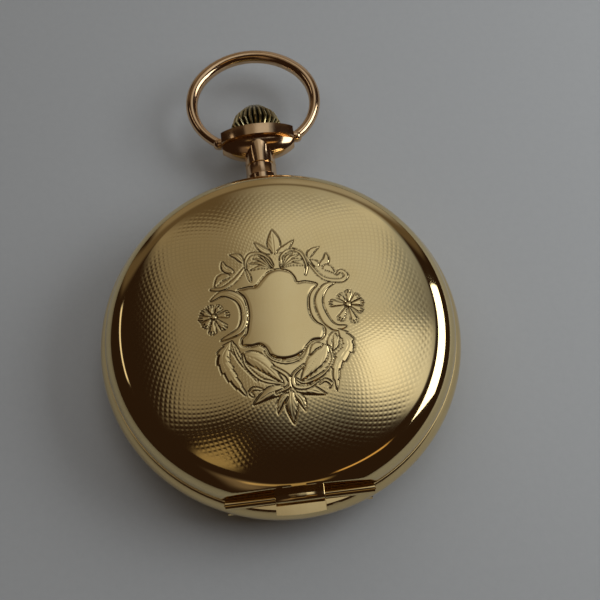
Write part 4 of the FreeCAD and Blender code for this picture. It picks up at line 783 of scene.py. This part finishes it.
def crownRibSeed(look, low, high):
    # one rib and half a groove each side, about the Y axis, with its foot and its bore for the stem
    radius = high.x
    height = high.y - low.y
    bore = 0.9
    half = math.pi / look["ribs"]
    curve = smoothLine([(3.2, 0.6), (3.72, 0.92), (radius - 0.05, 1.55), (3.95, 2.2), (3.4, 3.25),
                        (2.6, 4.2), (1.75, height - 0.28)], 4)
    outline = [(bore, 0.0), (3.15, 0.0), (3.18, 0.3)] + [tuple(spot) for spot in curve]
    outline += [(1.45, height - 0.14), (1.0, height - 0.05), (0.05, height - 0.02),
                (0.05, height - 1.6), (bore, height - 1.65)]
    across = np.array([-1, -0.75, -0.5, -0.28, -0.2, 0, 0.2, 0.28, 0.5, 0.75, 1.0])
    points, grime = [], []
    for r, y in outline:
        share = min(max((r - look["cap"] * 0.75) / (radius - look["cap"]), 0), 1) if y > 0.01 else 0
        share = 0 if r <= bore + 0.01 else share
        for a in across:
            deep = max((abs(a) - look["ridge"]) / (1 - look["ridge"]), 0)
            cut = look["groove"] * deep**0.9 * share**0.6
            turn = math.pi / 2 + a * half
            points.append(((r - cut) * math.cos(turn), low.y + y, (r - cut) * math.sin(turn)))
            # painted shade, darkest at the bottom of each groove
            grime.append(min(deep * 1.5, 1) * share**0.5)
    n = len(across)
    faces = []
    for i in range(len(outline)):
        j = (i + 1) % len(outline)
        for k in range(n - 1):
            faces.append((i * n + k, i * n + k + 1, j * n + k + 1, j * n + k))
    mesh = meshFrom("crownRib", points, faces)
    # the painted shade is kept on the mesh for the material to read
    attribute = mesh.attributes.new("grime", "FLOAT", "POINT")
    attribute.data.foreach_set("value", np.array(grime, np.float32))
    return mesh


def crownTree(material):
    tree = bpy.data.node_groups.new("crownRibs", "GeometryNodeTree")
    inputs = treeInputs(tree, {"Ribs": "NodeSocketInt", "Axis height": "NodeSocketFloat"})
    spots = addNode(tree, "GeometryNodePoints", inputs={"Count": inputs["Ribs"]})
    step = addNode(tree, "ShaderNodeMath", {"operation": "DIVIDE"}, {0: 2 * math.pi, 1: inputs["Ribs"]})
    turn = addNode(tree, "ShaderNodeMath", {"operation": "MULTIPLY"}, {
        0: addNode(tree, "GeometryNodeInputIndex").outputs[0], 1: step.outputs[0]})
    around = addNode(tree, "ShaderNodeCombineXYZ", inputs={"Y": turn.outputs[0]})
    copies = addNode(tree, "GeometryNodeInstanceOnPoints", inputs={
        "Points": spots.outputs[0], "Instance": inputs["Geometry"], "Rotation": around.outputs[0]})
    lift = addNode(tree, "ShaderNodeCombineXYZ", inputs={"Z": inputs["Axis height"]})
    placed = addNode(tree, "GeometryNodeTransform", inputs={
        "Geometry": copies.outputs[0], "Translation": lift.outputs[0]})
    finishTree(tree, placed.outputs[0], material)
    return tree


def addCrown(look):
    low, high = (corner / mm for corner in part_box("crown"))
    seed = crownRibSeed(look, low, high)
    axis = (low.z + high.z) / 2 * mm
    mesh = growMesh("crown", seed, crownTree(materials["crown_brass"]), {
        "Ribs": look["ribs"], "Axis height": axis})
    tidyNormals(mesh)
    addPiece("ribbedCrown", mesh, bodyOf["crown"], None, ("crown",))


def tidyNormals(mesh, angle=38):
    # merges doubles, turns faces outwards, and keeps edges sharper than the angle crisp
    work = bmesh.new()
    work.from_mesh(mesh)
    bmesh.ops.remove_doubles(work, verts=work.verts, dist=0.001 * mm)
    bmesh.ops.dissolve_degenerate(work, edges=work.edges, dist=0.0005 * mm)
    bmesh.ops.recalc_face_normals(work, faces=work.faces)
    work.to_mesh(mesh)
    work.free()
    mesh.shade_smooth()
    mesh.set_sharp_from_angle(angle=math.radians(angle))


bow = {
    "wire": 1.04,
    "endWire": 0.78,  # the wire is drawn thinner towards the pivots
    "collar": 0.93,
    "around": 28,
}


def bowPath():
    # the middle of the wire from one ear to the other, about the pendant's axis
    low, high = (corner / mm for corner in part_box("bow"))
    axisZ = (low.z + high.z) / 2
    pivotY = joints["bow_swing"]["pos_m"][1] * 1000
    width, height = high.x - 1.05, 9.0
    top = high.y - 1.05
    side = height - 0.7
    middle = pivotY + 7.1
    shift = width - side
    drop = (shift**2 - 0.49) / 1.4
    spread = math.atan2(shift, drop)
    topRadius = top - (middle - drop)
    lower = math.asin((7.1 - 0.35) / side)
    right = [(shift + side * math.cos(a), middle + side * math.sin(a))
             for a in np.linspace(-lower, math.pi / 2 - spread, 36)]
    over = [(topRadius * math.sin(a), middle - drop + topRadius * math.cos(a))
            for a in np.linspace(spread, -spread, 16)[1:-1]]
    left = [(-x, y) for x, y in reversed(right)]
    return np.array(right + over + left), axisZ


def addBow(look):
    path, axisZ = bowPath()
    pivotY = joints["bow_swing"]["pos_m"][1] * 1000
    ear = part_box("pendant")[1].x / mm
    length = np.concatenate([[0], np.cumsum(np.hypot(*np.diff(path, axis=0).T))])
    share = length / length[-1]
    towardEnd = smoothstep(0.3, 0.02, np.minimum(share, 1 - share))
    radius = look["wire"] + (look["endWire"] - look["wire"]) * towardEnd
    points, faces = [], []
    n = look["around"]
    for i, (x, y) in enumerate(path):
        along = path[min(i + 1, len(path) - 1)] - path[max(i - 1, 0)]
        along = along / np.hypot(*along)
        for k in range(n):
            a = 2 * math.pi * k / n
            out = radius[i] * math.cos(a)
            points.append((x + along[1] * out, y - along[0] * out, axisZ + radius[i] * math.sin(a)))
    for i in range(len(path) - 1):
        for k in range(n):
            j = (k + 1) % n
            faces.append((i * n + k, i * n + j, (i + 1) * n + j, (i + 1) * n + k))
    faces.append(tuple(range(n))[::-1])
    faces.append(tuple((len(path) - 1) * n + k for k in range(n)))
    for side in (1, -1):  # a collar against each ear, and the pivot inside it
        stages = [(ear - 1.1, 0.0), (ear - 1.1, 0.52), (ear + 0.07, 0.52),
                  (ear + 0.07, look["collar"] - 0.06), (ear + 0.12, look["collar"]),
                  (ear + 0.6, look["collar"]), (ear + 1.0, 0.82), (ear + 1.3, 0.5), (ear + 1.35, 0.0)]
        first = len(points)
        for x, r in stages:
            for k in range(n):
                a = 2 * math.pi * k / n
                points.append((side * x, pivotY + r * math.cos(a), axisZ + r * math.sin(a)))
        for i in range(len(stages) - 1):
            here, beyond = first + i * n, first + (i + 1) * n
            for k in range(n):
                j = (k + 1) % n
                faces.append((here + k, here + j, beyond + j, beyond + k))
    mesh = meshFrom("bowWire", points, faces)
    tidyNormals(mesh)
    addPiece("bowWire", mesh, bodyOf["bow"], materials["rose_gold"], ("bow",))


addCrown(crown)
addBow(bow)
smoothCopy("pendant", "pendantHead")
smoothCopy("case_middle", "caseBand")
print("crown, pendant and bow ready")


# hinge knuckles of the two covers: a bored barrel on a short web, one or two along the pin
knuckles = {
    "barrel": 0.7, "bore": 0.32,
    "bevel": 0.06,  # along the pin, and as a share of the outline
    "web": 1.2,  # reach of the web from the pin to the cover's wall
    "lift": 0.05,  # the web clears the band by this much
    "front": {"level": hinge, "up": 1, "spans": [(-3.3, 3.3)]},
    "back": {"level": backHinge, "up": -1, "spans": [(-5.4, -2.3), (2.3, 5.4)]},
}


def knuckleRings(look):
    # the barrel's outline with its web, and the bore's points that face it
    barrel, web = look["barrel"], look["web"]
    outline = [(web, look["lift"])] + [(web * part, barrel) for part in (1.0, 0.67, 0.33, 0.0)]
    bore = [math.radians(angle) for angle in (10, 30, 50, 70, 90)]
    for turn in np.linspace(math.pi / 2, 2 * math.pi + look["lift"] / barrel, 34)[1:]:
        outline.append((barrel * math.cos(turn), barrel * math.sin(turn)))
        bore.append(turn)
    inner = [(look["bore"] * math.cos(turn), look["bore"] * math.sin(turn)) for turn in bore]
    return np.array(outline), np.array(inner)


def addKnuckles(name, side, body, node):
    spec, bevel = knuckles[side], knuckles["bevel"]
    outline, bore = knuckleRings(knuckles)
    points, faces = [], []
    for start, end in spec["spans"]:
        first = len(points)
        count = len(outline)
        worn = outline * (1 - bevel)
        rings = [(start, bore), (start, worn), (start + bevel, outline), (end - bevel, outline),
                 (end, worn), (end, bore)]
        for x, ring in rings:
            for y, z in ring:
                points.append((x, spec["level"][1] + y, spec["level"][2] + spec["up"] * z))
        for i in range(len(rings)):
            here = [first + i * count + j for j in range(count)]
            following = [first + (i + 1) % len(rings) * count + j for j in range(count)]
            faces += stitchRings(here, following)
    mesh = meshFrom(name, points, faces)
    tidyNormals(mesh)
    addPiece(name, mesh, body, materials["yellow_gold"], (node,))
    print(name, "points", len(points))


addKnuckles("frontKnuckle", "front", "front_lid", "front_cover")
addKnuckles("backKnuckles", "back", "back_lid", "back_cover")


dialPrint = {
    "track": 19.2,  # radius of the minute marks
    "numeral": 16.0,
    "numeralSize": 3.1,
    "ink": 0.012,
    "secondsTrack": 3.75,
    "secondsNumeral": 2.6,
    "secondsSize": 1.05,
}


def marksTree(material):
    tree = bpy.data.node_groups.new("dialMarks", "GeometryNodeTree")
    inputs = treeInputs(tree, {
        "Count": "NodeSocketInt", "Radius": "NodeSocketFloat", "Mark": "NodeSocketVector"})
    circle = addNode(tree, "GeometryNodeMeshCircle", inputs={
        "Vertices": inputs["Count"], "Radius": inputs["Radius"]})
    stroke = addNode(tree, "GeometryNodeMeshCube", inputs={"Size": inputs["Mark"]})
    outward = addNode(tree, "FunctionNodeAlignRotationToVector", {"axis": "X"}, {
        "Vector": addNode(tree, "GeometryNodeInputPosition").outputs[0]})
    copies = addNode(tree, "GeometryNodeInstanceOnPoints", inputs={
        "Points": circle.outputs[0], "Instance": stroke.outputs[0], "Rotation": outward.outputs[0]})
    finishTree(tree, copies.outputs[0], material)
    return tree


def addDialPrint(look):
    tree = marksTree(inkBlack)
    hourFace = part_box("dial")[1].z
    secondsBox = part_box("seconds_dial")
    secondsFace = secondsBox[1].z
    secondsAt = (secondsBox[0] + secondsBox[1]) / 2
    ink = look["ink"] * mm
    meshes = []
    # each track as its number of marks, radius, mark size, place along X and face height
    tracks = [(60, look["track"], (0.75, 0.1), 0, hourFace),
              (12, look["track"], (1.1, 0.34), 0, hourFace),
              (60, look["secondsTrack"], (0.4, 0.06), secondsAt.x, secondsFace),
              (12, look["secondsTrack"], (0.55, 0.12), secondsAt.x, secondsFace)]
    for count, radius, (long, wide), shiftX, face in tracks:
        mesh = growMesh("marks", bpy.data.meshes.new("empty"), tree, {
            "Count": count, "Radius": radius * mm, "Mark": (long * mm, wide * mm, ink)})
        mesh.transform(Matrix.Translation((shiftX, 0, face + ink / 2)))
        meshes.append(mesh)
    labels = [(str(hour), hour / 12, look["numeral"], look["numeralSize"], 0, hourFace)
              for hour in range(1, 13)]
    labels += [(str(15 * k), k / 4, look["secondsNumeral"], look["secondsSize"], secondsAt.x, secondsFace)
               for k in range(1, 5)]
    for text, turn, radius, height, shiftX, face in labels:
        curve = bpy.data.curves.new("numeral", "FONT")
        curve.body, curve.size, curve.extrude = text, height * mm, ink / 2
        curve.align_x, curve.align_y = "CENTER", "CENTER"
        curve.resolution_u = 6
        holder = bpy.data.objects.new("numeral", curve)
        bpy.context.collection.objects.link(holder)
        bpy.context.view_layer.update()
        mesh = bpy.data.meshes.new_from_object(holder.evaluated_get(bpy.context.evaluated_depsgraph_get()))
        bpy.data.objects.remove(holder)
        angle = turn * 2 * math.pi  # twelve o'clock is towards -X, three towards +Y
        at = (shiftX - radius * mm * math.cos(angle), radius * mm * math.sin(angle), face + ink / 2)
        mesh.transform(Matrix.Translation(at) @ Matrix.Rotation(math.pi / 2, 4, "Z"))
        meshes.append(mesh)
    joined = bmesh.new()
    for mesh in meshes:
        joined.from_mesh(mesh)
        bpy.data.meshes.remove(mesh)
    bmesh.ops.remove_doubles(joined, verts=joined.verts, dist=0.0005 * mm)
    whole = bpy.data.meshes.new("dialPrint")
    joined.to_mesh(whole)
    joined.free()
    addPiece("dialPrint", whole, bodyOf["dial"], inkBlack)


addDialPrint(dialPrint)
print("dial printed")


def addFloor():
    # thick matt paper
    material, tree = newMaterial("drawingPaper")
    place = addNode(tree, "ShaderNodeTexCoord").outputs["Object"]
    fibres = addNode(tree, "ShaderNodeTexNoise", inputs={
        "Vector": place, "Scale": perMetre(1.2), "Detail": 6.0, "Roughness": 0.7})
    tone = addNode(tree, "ShaderNodeMix", {"data_type": "RGBA"}, {
        0: fibres.outputs[0], 6: linear("#B9BCBD"), 7: linear("#B1B4B6")})
    bump = addNode(tree, "ShaderNodeBump", inputs={
        "Height": fibres.outputs[0], "Strength": 0.25, "Distance": 0.1 * mm})
    finishMaterial(tree, {"Base Color": tone.outputs[2], "Roughness": 0.9, "Normal": bump.outputs[0]})
    reach = 1000
    corners = [(-reach, -reach, 0), (reach, -reach, 0), (reach, reach, 0), (-reach, reach, 0)]
    floor = bpy.data.objects.new("floor", meshFrom("floor", corners, [(0, 1, 2, 3)], smooth=False))
    floor.data.materials.append(material)
    bpy.context.collection.objects.link(floor)


# the room: dark and warm, with pale panels overhead. A panel is a patch of the sky, given by the two
# level parts of its direction, east and north, each as a middle and a half width
room = {
    "dark": (0.024, 0.013, 0.008),
    "panels": [
        {"east": (0.02, 0.285), "north": (0.37, 0.23), "soft": 0.03, "colour": (0.22, 0.2, 0.165)},
        {"east": (0.18, 0.2), "north": (0.4, 0.28), "soft": 0.08, "colour": (0.32, 0.35, 0.38)},
        {"east": (0.29, 0.09), "north": (0.2, 0.1), "soft": 0.03, "colour": (0.5, 0.5, 0.5)},
        {"east": (0.0, 0.75), "north": (0.68, 0.09), "soft": 0.05, "colour": (0.09, 0.07, 0.045)},
        {"east": (0.1, 0.6), "north": (0.92, 0.14), "soft": 0.06, "colour": (0.2, 0.17, 0.13)},
        {"east": (0.35, 0.3), "north": (0.88, 0.1), "soft": 0.08, "colour": (0.12, 0.14, 0.17)},
        {"east": (-0.62, 0.035), "north": (0.33, 0.16), "soft": 0.02, "colour": (1.1, 1.0, 0.85)},
        {"east": (-0.17, 0.05), "north": (0.03, 0.03), "soft": 0.02, "colour": (0.3, 0.23, 0.12)},
        {"east": (0.3, 0.13), "north": (-0.26, 0.035), "soft": 0.03, "colour": (0.8, 0.48, 0.17)},
        {"east": (-0.05, 0.22), "north": (-0.5, 0.05), "soft": 0.05, "colour": (0.4, 0.29, 0.14)},
        {"east": (-0.3, 0.12), "north": (-0.6, 0.2), "soft": 0.1, "colour": (0.14, 0.11, 0.08)},
    ],
    "window": {"at": (84, 38), "distance": 0.28, "size": (0.2, 0.14), "power": 0.3, "mirrored": True},
    "fill": {"at": (5, 64), "distance": 0.4, "size": (0.6, 0.6), "power": 0.55, "mirrored": False},
}


def towards(place):
    a, e = (math.radians(angle) for angle in place)
    return Vector((math.sin(a) * math.cos(e), math.cos(a) * math.cos(e), math.sin(e)))


def lightRoom(room):
    world = bpy.data.worlds.new("studio")
    bpy.context.scene.world = world
    world.use_nodes = True
    tree = world.node_tree
    tree.nodes.clear()
    direction = addNode(tree, "ShaderNodeTexCoord").outputs["Generated"]
    parts = addNode(tree, "ShaderNodeSeparateXYZ", inputs={0: direction}).outputs
    above = addNode(tree, "ShaderNodeMath", {"operation": "GREATER_THAN"}, {0: parts[2], 1: 0.0}).outputs[0]
    total = addNode(tree, "ShaderNodeRGB").outputs[0]
    total.default_value = (*room["dark"], 1.0)
    for panel in room["panels"]:
        reach = above
        for part, (middle, half) in ((parts[0], panel["east"]), (parts[1], panel["north"])):
            away = addNode(tree, "ShaderNodeMath", {"operation": "SUBTRACT"}, {0: part, 1: middle})
            away = addNode(tree, "ShaderNodeMath", {"operation": "ABSOLUTE"}, {0: away.outputs[0]})
            share = addNode(tree, "ShaderNodeMapRange", {"interpolation_type": "SMOOTHSTEP"}, {
                0: away.outputs[0], 1: half + panel["soft"], 2: max(half - panel["soft"], 0.0)})
            reach = addNode(tree, "ShaderNodeMath", {"operation": "MULTIPLY"}, {
                0: reach, 1: share.outputs[0]}).outputs[0]
        total = addNode(tree, "ShaderNodeMix", {"data_type": "RGBA", "blend_type": "ADD"}, {
            0: reach, 6: total, 7: (*panel["colour"], 1.0)}).outputs[2]
    background = addNode(tree, "ShaderNodeBackground", inputs={"Color": total, "Strength": 1.0})
    addNode(tree, "ShaderNodeOutputWorld", inputs={"Surface": background.outputs[0]})


def addPanelLight(name, look):
    light = bpy.data.lights.new(name, "AREA")
    light.shape = "RECTANGLE"
    light.size, light.size_y = look["size"]
    light.energy = look["power"]
    light.color = (0.94, 0.97, 1.0)
    lamp = bpy.data.objects.new(name, light)
    lamp.location = towards(look["at"]) * look["distance"]
    lamp.rotation_mode = "QUATERNION"
    lamp.rotation_quaternion = towards(look["at"]).to_track_quat("Z", "Y")
    lamp.visible_glossy = look["mirrored"]
    bpy.context.collection.objects.link(lamp)


addFloor()
lightRoom(room)
addPanelLight("window", room["window"])
addPanelLight("fill", room["fill"])
bpy.context.scene.view_settings.view_transform = "Standard"
print("stage ready")
